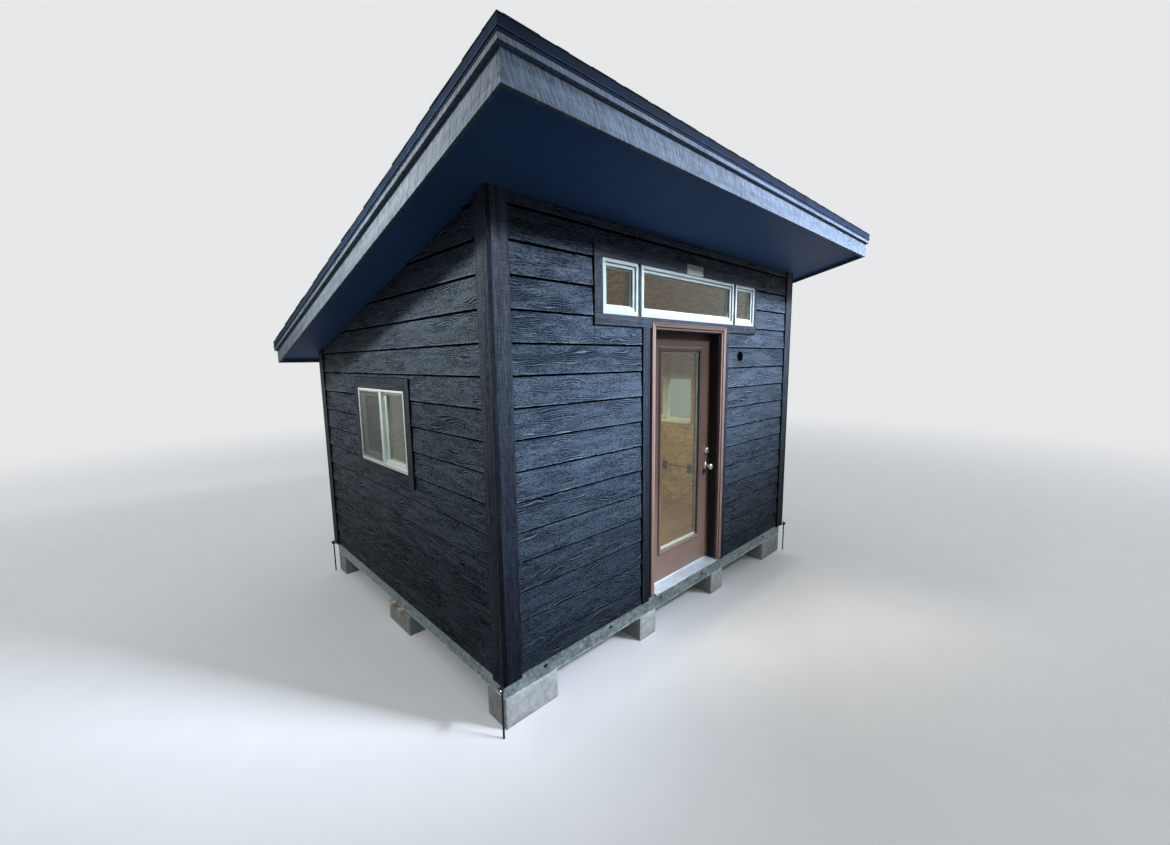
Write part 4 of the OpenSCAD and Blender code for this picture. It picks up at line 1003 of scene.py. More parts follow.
def lap_outlines(place, u0, u1, top, openings, sizes, seed):
    """Flat outlines of the lap boards in a wall: rows of cells, without the openings."""
    bm = bmesh.new()
    grain = bm.verts.layers.float_vector.new("grain")
    tone = bm.verts.layers.float.new("tone")
    foot_layer = bm.verts.layers.float.new("foot")
    draw = random.Random(seed)
    feet = [SIDING_Z, SIDING_Z + sizes.first_lap]
    while feet[-1] < top:
        feet.append(feet[-1] + sizes.lap_height)
    base_u = sorted({u0, u1, *[u for o in openings for u in (o[0], o[1])]})
    us = []
    for a, b in zip(base_u, base_u[1:]):
        steps = max(1, round((b - a) / CELL))
        us += [a + (b - a) * k / steps for k in range(steps)]
    us.append(u1)
    for foot, head in zip(feet, feet[1:]):
        shift = Vector([draw.uniform(0, 30) for _ in range(3)])
        own = draw.random()
        zs = sorted({foot, foot + 0.5 * (head - foot), head - HAIR,
                     *[z for o in openings for z in o[2:] if foot < z < head - HAIR]})
        kept = {}
        for i, (a, b) in enumerate(zip(us, us[1:])):
            for j, (c, d) in enumerate(zip(zs, zs[1:])):
                mid_u, mid_z = (a + b) / 2, (c + d) / 2
                if any(o[0] < mid_u < o[1] and o[2] < mid_z < o[3] for o in openings):
                    continue
                ring = []
                for u, z in ((i, j), (i + 1, j), (i + 1, j + 1), (i, j + 1)):
                    if (u, z) not in kept:
                        v = kept[u, z] = bm.verts.new(place(us[u], TRIM_T, zs[z]))
                        v[grain] = Vector((us[u], zs[z], 0)) + shift
                        v[tone] = own
                        v[foot_layer] = foot if foot > SIDING_Z else head - sizes.lap_height
                    ring.append(kept[u, z])
                bm.faces.new(ring)
    return bm


def siding_wall(name, place, u0, u1, openings, outward, node, seed, slope_point=None,
                port=None):
    """The lap boards of one wall, cut off along a slope and round the wall port."""
    sizes = bpy.context.scene.pod_siding
    top_gap, hole, reach = 0.006, 0.051, 0.1
    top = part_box(node)[1].z
    bm = lap_outlines(place, u0, u1, top, openings, sizes, seed)
    if slope_point:
        normal = Vector((0, math.sin(PITCH), math.cos(PITCH)))
    else:
        slope_point, normal = Vector((0, 0, top - top_gap)), Vector((0, 0, 1))
    bmesh.ops.bisect_plane(bm, geom=bm.verts[:] + bm.edges[:] + bm.faces[:], dist=1e-6,
                           plane_co=slope_point, plane_no=normal, clear_outer=True)
    bmesh.ops.recalc_face_normals(bm, faces=bm.faces)
    for face in bm.faces:
        if face.normal.dot(outward) < 0:
            face.normal_flip()
    mesh = grown(name, lap_board_tree, mesh_of(bm, name), {
        "Foot Thickness": sizes.foot_thickness, "Top Thickness": sizes.top_thickness,
        "Lap Height": sizes.lap_height, "Waviness": sizes.waviness, "Outward": outward,
        "Seed": float(seed), "Material": finish("painted_lap_siding")})
    bm = bmesh.new()
    bm.from_mesh(mesh)
    ease_edges(bm, sizes.board_edge, angle=50)
    made = piece(name, bm, "painted_lap_siding", "pod", [node])
    if port:
        cutter = bmesh.new()
        turned(cutter, port - Vector((0, reach, 0)), (0, 1, 0),
               [(0, 0), (hole, 0), (hole, 2 * reach), (0, 2 * reach)], steps=40)
        cut_out(made, cutter)
        mend_grain(made.data, port, hole + 0.001)
    return made


def cut_out(made, cutter):
    """Cuts a bmesh out of a piece."""
    bmesh.ops.recalc_face_normals(cutter, faces=cutter.faces)
    tool = bpy.data.objects.new("cutter", mesh_of(cutter, "cutter"))
    bpy.context.scene.collection.objects.link(tool)
    cut = made.modifiers.new("cut", "BOOLEAN")
    cut.object, cut.operation, cut.solver = tool, "DIFFERENCE", "EXACT"
    seen = made.evaluated_get(bpy.context.evaluated_depsgraph_get())
    holed = bpy.data.meshes.new_from_object(seen)
    made.modifiers.remove(cut)
    made.data = holed
    bpy.data.objects.remove(tool)


def mend_grain(mesh, centre, radius):
    """Gives the new edge of a round hole the grain, tone and foot of the board it is in."""
    grain, tone, foot = (mesh.attributes[name].data for name in ("grain", "tone", "foot"))
    ring = [v for v in mesh.vertices
            if math.hypot(v.co.x - centre.x, v.co.z - centre.z) < radius]
    inside = {v.index for v in ring}
    below = max((v for v in mesh.vertices
                 if v.index not in inside and v.co.z - foot[v.index].value < 1e-4
                 and v.co.z < centre.z), key=lambda v: (foot[v.index].value,
                                                        -abs(v.co.x - centre.x)))
    shift = grain[below.index].vector - Vector((below.co.x, below.co.z, 0))
    for v in ring:
        grain[v.index].vector = Vector((v.co.x, v.co.z, 0)) + shift
        tone[v.index].value = tone[below.index].value
        foot[v.index].value = foot[below.index].value


class POD_OT_siding(Operator):
    """Lays the lap boards on the four walls"""
    bl_idname = "pod.siding"
    bl_label = "Siding"

    def execute(self, context):
        under_soffit, near = 0.0105, 0.05
        trims = [(low.x, high.x, low.z, high.z) for low, high in cad_boxes("front_trim")]
        legs = [area for area in trims if area[2] < SIDING_Z + near]
        u0, u1, _, z1 = opening(legs)
        openings = [(u0, u1, 0, z1), opening([area for area in trims if area not in legs])]
        low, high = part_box("siding_front")
        port = sum(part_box("wall_port"), Vector()) / 2
        port.y = FACE_Y
        siding_wall("siding_front_boards", front, low.x, high.x, openings,
                    Vector((0, -1, 0)), "siding_front", 11, port=port)
        siding_wall("siding_back_boards", back, low.x, high.x, [], Vector((0, 1, 0)),
                    "siding_back", 12)
        for node, place, way, seed in (("siding_left", left, -1, 13),
                                       ("siding_right", right, 1, 14)):
            low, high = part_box(node)
            slope_point = Vector((0, low.y, rafter_z(low.y) - under_soffit))
            siding_wall(node + "_boards", place, low.y - FACE_Y, high.y - FACE_Y,
                        [opening(wall_boxes("window_casings", way))], Vector((way, 0, 0)),
                        node, seed, slope_point)
        return {"FINISHED"}


def cad_boxes(node):
    """The boxes of a CAD node's separate solids."""
    bm = cad_copy(node)
    found = [span(group) for group in islands(bm)]
    bm.free()
    return found


def wall_boxes(node, way):
    """The solids of a node on one side, as u and z ranges in that side's wall."""
    return [(low.y - FACE_Y, high.y - FACE_Y, low.z, high.z)
            for low, high in cad_boxes(node) if way * low.x > 0]


def opening(areas):
    """The opening in the boards that leaves room round some areas of trim."""
    gap, level_gap = bpy.context.scene.pod_siding.end_gap, 0.003
    return (min(a[0] for a in areas) - gap, max(a[1] for a in areas) + gap,
            min(a[2] for a in areas) - level_gap, max(a[3] for a in areas) + level_gap)


# Trim

TRIM_EASE = 0.002


def nail_lines(nodes, edge=0.019, lean=()):
    """Lines for nails near both edges of every board, with the way out of the wall."""
    narrowest, shortest, one_row, end_gap = 0.04, 0.2, 0.06, 0.03
    bm = bmesh.new()
    outward = bm.verts.layers.float_vector.new("outward")
    for node in nodes:
        for low, high in cad_boxes(node):
            size = high - low
            fall = SLOPE * size.y if node in lean and size.y > size.x else 0
            size.z -= fall
            thin, wide, long = sorted(range(3), key=lambda i: size[i])
            if size[wide] < narrowest or size[long] < shortest:
                continue
            out = Vector((0, 0, 0))
            centre = (low + high) / 2
            out[thin] = 1 if centre[thin] > 0 else -1
            face = high[thin] if out[thin] > 0 else low[thin]
            for across in ((edge, size[wide] - edge) if size[wide] > one_row
                           else (size[wide] / 2,)):
                ends = []
                for end in (low[long] + end_gap, high[long] - end_gap):
                    at = Vector((0, 0, 0))
                    at[thin], at[wide], at[long] = face, low[wide] + across, end
                    if fall:
                        at.z += (high.y - at.y) * SLOPE
                    v = bm.verts.new(at)
                    v[outward] = out
                    ends.append(v)
                bm.edges.new(ends)
    return mesh_of(bm, "nail_lines")


def add_nails(name, lines, spacing, seed, material):
    """A piece of nail heads along some lines, with the grain and tone that paints read."""
    dark = 0.1
    mesh = grown(name, nail_tree, lines, {
        "Spacing": spacing, "Head": bpy.context.scene.pod_siding.nail_head, "Seed": seed,
        "Material": finish(material)})
    grain = mesh.attributes.new("grain", "FLOAT_VECTOR", "POINT")
    grain.data.foreach_set("vector", [c for v in mesh.vertices for c in v.co])
    own = mesh.attributes.new("tone", "FLOAT", "POINT")
    own.data.foreach_set("value", [dark] * len(mesh.vertices))
    piece(name, mesh, material, "pod")


class POD_OT_trim(Operator):
    """Makes the corner boards, the flat trim and the casings, with their nails"""
    bl_idname = "pod.trim"
    bl_label = "Trim boards"

    def execute(self, context):
        boards = {"corner_boards": "corner_trim", "front_trim": "door_and_transom_trim",
                  "window_casings": "window_casing_trim"}
        for seed, (node, name) in enumerate(boards.items(), 20):
            softened(node, name, "painted_trim_board", TRIM_EASE, seed=seed)
        add_nails("trim_nails", nail_lines(boards), context.scene.pod_siding.nail_spacing, 3,
                  "painted_trim_board")
        return {"FINISHED"}


# Roof

# Distance between the fascia's nails: 24 inches, as rafters stand
RAFTER_SPACING = 0.6096


class POD_OT_roof(Operator):
    """Lays the shingles and finishes the fascias, drip edges and soffit"""
    bl_idname = "pod.roof"
    bl_label = "Roof"

    def execute(self, context):
        sizes = context.scene.pod_roof
        low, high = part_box("roof_shingles")
        side_gap, eave_gap, ridge_gap = 0.001, 0.003, 0.004
        reach = (high.y - low.y) / math.cos(PITCH) - ridge_gap
        mesh = grown("roof_courses", shingle_tree, bpy.data.meshes.new("none"), {
            "Width": high.x - low.x - side_gap, "Length": reach, "Course": sizes.course,
            "Tab Pitch": sizes.tab_pitch, "Strip Thickness": sizes.strip_thickness,
            "Tab Thickness": sizes.tab_thickness, "Butt Lift": sizes.butt_lift,
            "Seed": sizes.seed, "Material": finish("granulated_shingle")})
        along, up = Vector((-1, 0, 0)), Vector((0, -math.cos(PITCH), math.sin(PITCH)))
        normal = along.cross(up)
        turn = Matrix((along, up, normal)).transposed().to_4x4()
        start = Vector((0, high.y, low.z)) + up * eave_gap
        mesh.transform(Matrix.Translation(start) @ turn)
        piece("roof_courses", mesh, "granulated_shingle", "pod",
              ["roof_shingles"])
        for node, name, seed in (("fascia_boards", "fascia_main", 31),
                                 ("fascia_strips", "fascia_upper", 32)):
            softened(node, name, "painted_fascia_board", TRIM_EASE, seed=seed,
                     lean=True)
        lines = nail_lines(["fascia_boards"], edge=0.03, lean=["fascia_boards"])
        add_nails("fascia_nails", lines, RAFTER_SPACING, 5, "painted_fascia_board")
        self.drip_edge()
        dress("soffit_panels", "rolled_soffit_sheet")
        dress("roof_boards", "plywood_deck")
        dress("rafters", "planed_spruce")
        return {"FINISHED"}

    def drip_edge(self):
        """Folded sheet round the roof: a leg under the shingles, a face, a hem that kicks
        out with a painted highlight on its rim, and a foot down the fascia strip that paints the
        hem's shadow."""
        low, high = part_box("drip_edges")
        inner_low, inner_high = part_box("fascia_strips")
        sheet = high.x - inner_high.x
        leg, face, kick, foot, clear = 0.06, 0.037, 0.004, 0.058, 0.0001
        hem = face + kick
        outline = [(-leg, 0), (sheet, 0), (sheet, -face), (sheet + kick, -hem),
                   (sheet + kick, -hem - 0.003), (sheet, -hem - 0.0025), (sheet, -foot),
                   (clear, -foot), (clear, -sheet), (-leg, -sheet)]
        # the rim of the hem, which the drip's finish paints four times as bright: a painted
        # highlight
        rim = (3, 4)
        stations = []
        for way, edge, end in ((-1, inner_low.y, -1), (1, inner_low.y, -1),
                               (1, inner_high.y, 1), (-1, inner_high.y, 1)):
            ring = [Vector((way * (inner_high.x + out), edge + end * out, high.z + rise))
                    for out, rise in outline]
            for at in ring:
                at.z -= (at.y - low.y) * SLOPE
            stations.append(ring)
        bm = bmesh.new()
        tone = bm.verts.layers.float.new("tone")
        lofted(bm, stations)
        for i, v in enumerate(bm.verts):
            v[tone] = 1.0 if i % len(outline) in rim else 0.5
        piece("drip_edge_sheet", bm, "enamelled_steel_drip", "pod",
              ["drip_edges"])


# Windows

# How far the window frames reach into the wall
FRAME_DEPTH = 0.07


def glazing(bm_glass, bm_bar, place, u0, u1, z0, z1, d0, d1, bar):
    """A sealed unit: two panes and the spacer between them."""
    pane, bead, rim = 0.003, 0.0005, 0.001
    box(bm_glass, place, (u0, d0, z0), (u1, d0 + pane, z1))
    box(bm_glass, place, (u0, d1 - pane, z0), (u1, d1, z1))
    a, b = d0 + pane + bead, d1 - pane - bead
    mitred(bm_bar, place, u0 + rim, u1 - rim, z0 + rim, z1 - rim,
           [(0, a), (bar, a), (bar, b), (0, b)])


def vinyl_profile(face):
    """Outline of an extruded window frame: a rim, a groove, and a sloping bead."""
    half, bead, front_face = face / 2, 0.012, 0.0005
    return [(0, FRAME_DEPTH), (0, 0.003), (0.001, 0.001), (0.003, front_face),
            (half - 0.003, front_face), (half - 0.001, 0.001), (half, 0.003),
            (half, bead - 0.002), (half + 0.0015, bead - 0.0005), (half + 0.004, bead),
            (face - 0.006, bead + 0.0005), (face - 0.0015, bead + 0.003),
            (face, bead + 0.008), (face, FRAME_DEPTH)]


class POD_OT_windows(Operator):
    """Makes the transom windows and the side windows"""
    bl_idname = "pod.windows"
    bl_label = "Windows"

    def execute(self, context):
        transom, glass, bars = bmesh.new(), bmesh.new(), bmesh.new()
        for low, high in cad_boxes("transom_frames"):
            # 46 mm wide, and 58 at the foot
            mitred(transom, front, low.x, high.x, low.z, high.z, vinyl_profile(0.046),
                   foot=58 / 46)
        for low, high in cad_boxes("transom_glass"):
            glazing(glass, bars, front, low.x, high.x, low.z, high.z, low.y - FACE_Y,
                    high.y - FACE_Y, 0.006)
        piece("transom_vinyl", transom, "extruded_white_vinyl", "pod",
              ["transom_frames"])
        piece("transom_panes", glass, "clear_float_glass", "pod",
              ["transom_glass"])
        frames, sashes, panes = bmesh.new(), bmesh.new(), bmesh.new()
        screens, nets = bmesh.new(), bmesh.new()
        for place, way in ((left, -1), (right, 1)):
            frame_box, sash, screen = (
                wall_boxes(node, way)[0]
                for node in ("window_frames", "window_sashes", "window_screens"))
            fixed, sliding = sorted(wall_boxes("window_glass", way))
            # 34 mm wide, and 52 at the foot
            mitred(frames, place, *frame_box, vinyl_profile(0.034), foot=52 / 34)
            # the post between the two sashes
            p0, p1 = sash[1] + 0.0003, sliding[0] - 0.0003
            z0, z1 = frame_box[2:]
            lofted(frames, [[place(u, d, z) for u, d in (
                (p0, FRAME_DEPTH), (p0, 0.004), (p0 + 0.002, 0.001), (p1 - 0.002, 0.001),
                (p1, 0.004), (p1, FRAME_DEPTH))] for z in (z0 + 0.026, z1 - 0.017)],
                ring=False)
            # the fixed sash, with a wide stile beside the post
            bead, stile = 0.009, 0.027
            lofted(sashes, [[place(u, d, z) for u, d, z in rim_points(*sash, *depths)]
                            for depths in (
                (0.029, 0, 0, 0), (0.029, bead - 0.003, stile - 0.004, bead - 0.003),
                (0.032, bead, stile, bead), (0.055, bead, stile, bead), (0.055, 0, 0, 0))])
            glazing(panes, bars, place, *fixed, 0.034, 0.052, 0.006)
            # the sliding sash
            mitred(sashes, place, *sliding, [
                (0, 0.026), (0.022, 0.026), (0.025, 0.029), (0.027, 0.034),
                (0.027, 0.052), (0, 0.052)])
            glazing(panes, bars, place, *shrunk(sliding, 0.025), 0.0345, 0.0465, 0.005)
            mitred(screens, place, *screen, [
                (0, 0.0035), (0.0012, 0.0023), (0.0078, 0.0023), (0.009, 0.0035),
                (0.009, 0.0095), (0, 0.0095)])
            u0, u1, z0, z1 = shrunk(screen, 0.008)
            box(nets, place, (u0, 0.0045, z0), (u1, 0.0048, z1))
        # Tone 1 paints the side windows' frames and sashes lighter; the transoms and the screen
        # frames have none and come out darker: painted light and shade
        for bm in (frames, sashes):
            tone = bm.verts.layers.float.new("tone")
            for v in bm.verts:
                v[tone] = 1.0
        for name, bm, material, slot, replaced in (
                ("window_vinyl", frames, "extruded_white_vinyl", "white_vinyl",
                 ["window_frames"]),
                ("window_sash_vinyl", sashes, "extruded_white_vinyl", "white_vinyl",
                 ["window_sashes"]),
                ("window_panes", panes, "coated_window_glass", "window_glass",
                 ["window_glass"]),
                ("window_spacers", bars, "pale_spacer_bar", "mill_aluminium", []),
                ("screen_frames", screens, "extruded_white_vinyl", "white_vinyl", []),
                ("screen_nets", nets, "woven_fibreglass_screen", "insect_screen",
                 ["window_screens"])):
            piece(name, bm, material, "pod", replaced)
        return {"FINISHED"}


def shrunk(area, inset):
    """The same u and z ranges, smaller on each side."""
    u0, u1, z0, z1 = area
    return u0 + inset, u1 - inset, z0 + inset, z1 - inset


def rim_points(u0, u1, z0, z1, d, inset, last, level):
    """Corners of a rim whose sides have their own insets."""
    return [(u0 + inset, d, z0 + level), (u1 - last, d, z0 + level),
            (u1 - last, d, z1 - level), (u0 + inset, d, z1 - level)]


# Door frame and door

def three_sides(bm, x0, z1, foot, profile, place):
    """A moulding up one side, across the head and down the other, mitred at the corners.
    profile is (distance in from the outer edge, depth)."""
    stations = [
        [place(-x0 + i, d, foot) for i, d in profile],
        [place(-x0 + i, d, z1 - i) for i, d in profile],
        [place(x0 - i, d, z1 - i) for i, d in profile],
        [place(x0 - i, d, foot) for i, d in profile]]
    lofted(bm, stations, ring=False)


class POD_OT_door_frame(Operator):
    """Makes the moulding, the jambs, the gasket and the threshold of the doorway"""
    bl_idname = "pod.door_frame"
    bl_label = "Door frame"

    def execute(self, context):
        low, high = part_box("door_moulding")
        depth = low.y - FACE_Y
        bm = bmesh.new()
        outline = [(0, TRIM_T), (0, depth + 0.004), (0.001, depth + 0.0012),
                   (0.004, depth), (0.011, depth), (0.0125, depth + 0.0025),
                   (0.0145, depth + 0.003), (0.0165, depth + 0.001), (0.019, depth + 0.0004),
                   (0.030, depth + 0.0006), (0.0335, depth + 0.003), (0.0345, depth + 0.008),
                   (0.036, depth + 0.0105), (0.040, depth + 0.011), (0.049, depth + 0.0112),
                   (0.0515, depth + 0.013), (0.052, depth + 0.016), (0.052, TRIM_T)]
        three_sides(bm, high.x, high.z, low.z, outline, front)
        grain_with_shaded_head(bm, 41)
        piece("door_surround", bm, "brushed_brown_moulding", "pod",
              ["door_moulding"])
        softened("door_jambs", "door_frame_jambs", "dark_bronze_jamb", 0.0015,
                 seed=42)
        self.gasket()
        self.sill(context.scene.pod_door)
        return {"FINISHED"}

    def gasket(self):
        """A bulb seal in the corner of the stop, just clear of the door."""
        bm = bmesh.new()
        face = DOOR_LOW.y - FACE_Y
        clear, wide, deep, above_sill = 0.0005, 0.0075, 0.0052, 0.03
        seal = [(clear, face - 0.003), (0.002, face - 0.0012), (0.006, face - 0.0007),
                (wide, face - 0.002), (wide, face - deep), (clear, face - deep)]
        three_sides(bm, DOOR_HIGH.x, DOOR_HIGH.z, DECK_Z + above_sill, seal, front)
        piece("door_gasket", bm, "rubber_gasket", "pod")

    def sill(self, sizes):
        """The threshold: a ribbed ramp that rises to a cap under the door."""
        low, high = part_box("door_threshold")
        foot_y, foot_z = low.y + 0.0015, DECK_Z + 0.006
        outline = [(low.y, DECK_Z), (low.y, foot_z - 0.0015), (foot_y, foot_z)]
        ramp_y, ramp_z = DOOR_LOW.y - 0.006, high.z - 0.008
        plain_foot, groove = 0.006, 0.0012
        ribs = int((ramp_y - foot_y - 0.01) / sizes.rib_pitch)
        for k in range(ribs):
            for part, drop in ((0.35, 0), (0.45, groove), (0.85, groove), (0.95, 0)):
                y = foot_y + plain_foot + (k + part) * sizes.rib_pitch
                z = foot_z + (ramp_z - foot_z) * (y - foot_y) / (ramp_y - foot_y)
                outline.append((y, z - drop))
        outline += [(ramp_y, ramp_z), (DOOR_LOW.y + 0.003, high.z - 0.001),
                    (DOOR_LOW.y + 0.005, high.z), (high.y - 0.001, high.z),
                    (high.y, high.z - 0.001), (high.y, DECK_Z)]
        bm = bmesh.new()
        lofted(bm, [[Vector((x, y, z)) for y, z in outline] for x in (low.x, high.x)],
               ring=False)
        piece("door_sill", bm, "mill_aluminium", "pod", ["door_threshold"])


def grain_with_shaded_head(bm, seed):
    """Grain up a mitred moulding, and a tone that paints its head darker: painted shade."""
    grain = bm.verts.layers.float_vector.new("grain")
    tone = bm.faces.layers.float.new("tone")
    draw = random.Random(seed)
    shift = Vector([draw.uniform(0, 30) for _ in range(3)])
    for v in bm.verts:
        v[grain] = Vector((v.co.z, v.co.x, v.co.y)) + shift
    shaded_head_foot = max(v.co.z for v in bm.verts) - 0.06
    for face in bm.faces:
        face[tone] = 0.0 if face.calc_center_median().z > shaded_head_foot else 1.0


class POD_OT_door(Operator):
    """Makes the door slab, its glass and the moulding round it"""
    bl_idname = "pod.door"
    bl_label = "Door"

    def execute(self, context):
        sizes = context.scene.pod_door
        softened("door_slab", "door_skin", "painted_door_skin", 0.0015,
                 body="door", seed=51)
        low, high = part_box("door_lite_frame")
        bm = bmesh.new()
        proud = DOOR_LOW.y - low.y
        rim = sizes.glass_rim
        shape = [(0, 0.0), (0, 0.55), (0.1, 0.86), (0.24, 1.0), (0.42, 0.97), (0.52, 0.72),
                 (0.62, 0.62), (0.8, 0.58), (0.93, 0.42), (1.0, 0.1), (1.0, -0.5),
                 (0.5, -0.5), (0.5, 0)]
        for face, sign in ((DOOR_LOW.y, -1), (DOOR_HIGH.y, 1)):
            mitred(bm, lambda u, d, z: Vector((u, face + sign * d, z)), low.x, high.x, low.z,
                   high.z, [(i * rim, h * proud) for i, h in shape])
        piece("door_glass_moulding", bm, "painted_door_skin", "door",
              ["door_lite_frame"])
        # a dark ring round the glass moulding: painted shade where the moulding meets the skin
        seal = bmesh.new()
        out = 0.006
        mitred(seal, lambda u, d, z: Vector((u, DOOR_LOW.y - d, z)), low.x - out,
               high.x + out, low.z - out, high.z + out,
               [(0, -0.0005), (0.0005, 0.0008), (out - 0.0005, 0.0012),
                (out - 0.0002, -0.0005)])
        piece("door_glass_seal", seal, "rubber_gasket", "door")
        glass, bars = bmesh.new(), bmesh.new()
        pane_low, pane_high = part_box("door_glass")
        edge = pane_low.x - low.x
        glazing(glass, bars, plain, pane_low.x, pane_high.x, pane_low.z, pane_high.z,
                pane_low.y, pane_high.y, rim - edge + sizes.spacer)
        piece("door_panes", glass, "clear_float_glass", "door",
              ["door_glass"])
        piece("door_spacer", bars, "pale_spacer_bar", "door")
        return {"FINISHED"}


class POD_OT_hardware(Operator):
    """Makes the knobs, the deadbolt and the hinges"""
    bl_idname = "pod.hardware"
    bl_label = "Door hardware"

    def execute(self, context):
        sizes = context.scene.pod_door
        low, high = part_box("door_knobs")
        centre = (low + high) / 2
        r = sizes.knob_radius
        bm = bmesh.new()
        knob = [(0, 0), (0.032, 0), (0.032, 0.003), (0.0305, 0.0055), (0.027, 0.0072),
                (0.018, 0.008), (0.0135, 0.0095), (0.0115, 0.013), (0.011, 0.022),
                (0.0125, 0.029), (0.017, 0.0345), (0.0225, 0.039), (0.0258, 0.044),
                (r, 0.049), (0.0262, 0.0535), (0.0235, 0.0575), (0.018, 0.0605),
                (0.011, 0.0618), (0.0085, 0.0612), (0.0075, 0.0595), (0, 0.0593)]
        for face, way in ((DOOR_LOW.y, -1), (DOOR_HIGH.y, 1)):
            turned(bm, (centre.x, face, centre.z), (0, way, 0), knob)
        piece("door_knob_pair", bm, "satin_nickel_plate", "door",
              ["door_knobs"], smooth=40)
        low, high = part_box("door_deadbolt")
        centre = (low + high) / 2
        bm = bmesh.new()
        turned(bm, (centre.x, DOOR_LOW.y, centre.z), (0, -1, 0), [
            (0, 0), (0.031, 0), (0.031, 0.0025), (0.0295, 0.006), (0.0265, 0.0145),
            (0.0245, 0.0172), (0.022, 0.018), (0.0135, 0.018), (0.013, 0.0165),
            (0.0112, 0.0165), (0.0108, 0.0175), (0, 0.0175)])
        turned(bm, (centre.x, DOOR_HIGH.y, centre.z), (0, 1, 0), [
            (0, 0), (0.030, 0), (0.030, 0.003), (0.028, 0.0065), (0.024, 0.008),
            (0, 0.008)])
        turn = bmesh.new()
        box(turn, plain,
            (centre.x - 0.0035, DOOR_HIGH.y + 0.0078, centre.z - 0.018),
            (centre.x + 0.0035, DOOR_HIGH.y + 0.0255, centre.z + 0.018))
        ease_edges(turn, 0.003)
        join(bm, turn)
        slot_low = Vector((centre.x - 0.0012, DOOR_LOW.y - 0.0178, centre.z - 0.004))
        keyway = bmesh.new()
        box(keyway, plain, slot_low, slot_low + Vector((0.0024, 0.0004, 0.008)))
        piece("deadbolt_keyway", keyway, "black_painted_steel", "door")
        piece("door_deadbolt_set", bm, "satin_nickel_plate", "door",
              ["door_deadbolt"], smooth=40)
        for node, name, body in (("frame_hinges", "hinges_on_frame", "pod"),
                                 ("door_hinges", "hinges_on_door", "door")):
            bm = cad_copy(node)
            ease_edges(bm, 0.0008, angle=50)
            piece(name, bm, "satin_nickel_plate", body, [node], smooth=35)
        self.screws(sizes)
        return {"FINISHED"}

    def screws(self, sizes):
        """Three screws through each hinge leaf into the edge of the door and the jamb."""
        leaf, leaf_height, pin_length = 0.002, 0.102, 0.09
        spread = leaf_height * 0.33
        for node, body, way in (("door_hinges", "door", 1), ("frame_hinges", "pod", -1)):
            bm = bmesh.new()
            outward = bm.verts.layers.float_vector.new("outward")
            for low, high in cad_boxes(node):
                if body == "pod" and high.z - low.z < pin_length:
                    continue
                mid = (low.z + high.z) / 2
                face = low.x if way > 0 else low.x + leaf
                for k, inset in ((-1, 0.008), (0, 0.017), (1, 0.008)):
                    v = bm.verts.new((face, low.y + inset, mid + k * spread))
                    v[outward] = Vector((-way, 0, 0))
            name = "hinge_screws_" + body
            mesh = grown(name, screw_tree, mesh_of(bm, "screw_points"), {
                "Head": sizes.screw_head, "Proud": 0.0006, "Seed": 4,
                "Material": finish("satin_nickel_plate")})
            piece(name, mesh, "satin_nickel_plate", body)


def join(bm, other):
    """Adds another bmesh's bodies."""
    bmesh.ops.recalc_face_normals(other, faces=other.faces)
    mesh = mesh_of(other, "part")
    bm.from_mesh(mesh)
    bpy.data.meshes.remove(mesh)


# Base

def worn_blocks(node, name, wear, seed):
    """Blocks with chipped arrises and uneven faces, worn inward from the CAD shape."""
    arris, rounds, longest = 0.007, 5, 0.035
    bm = cad_copy(node)
    ease_edges(bm, arris)
    bmesh.ops.triangulate(bm, faces=bm.faces)
    put_in_order(bm)
    for _ in range(rounds):
        long_edges = [e for e in bm.edges if e.calc_length() > longest]
        if not long_edges:
            break
        bmesh.ops.subdivide_edges(bm, edges=long_edges, cuts=1)
        bmesh.ops.triangulate(bm, faces=[f for f in bm.faces if len(f.verts) > 3])
        put_in_order(bm)
    bmesh.ops.recalc_face_normals(bm, faces=bm.faces)
    bm.normal_update()
    shift = Vector((seed, seed * 0.7, 0))
    coarse, fine, level = 14, 45, 0.7
    moves = []
    for v in bm.verts:
        dent = max(0.0, noise.noise(v.co * coarse + shift) * 0.7 + noise.noise(
            v.co * fine + shift) * 0.5)
        moves.append(v.normal * -dent * wear)
    for v, move in zip(bm.verts, moves):
        # the faces that carry or are carried stay level
        v.co += Vector((move.x, move.y, 0)) if abs(v.normal.z) > level else move
    return piece(name, bm, "cast_concrete", "pod", [node], smooth=50)


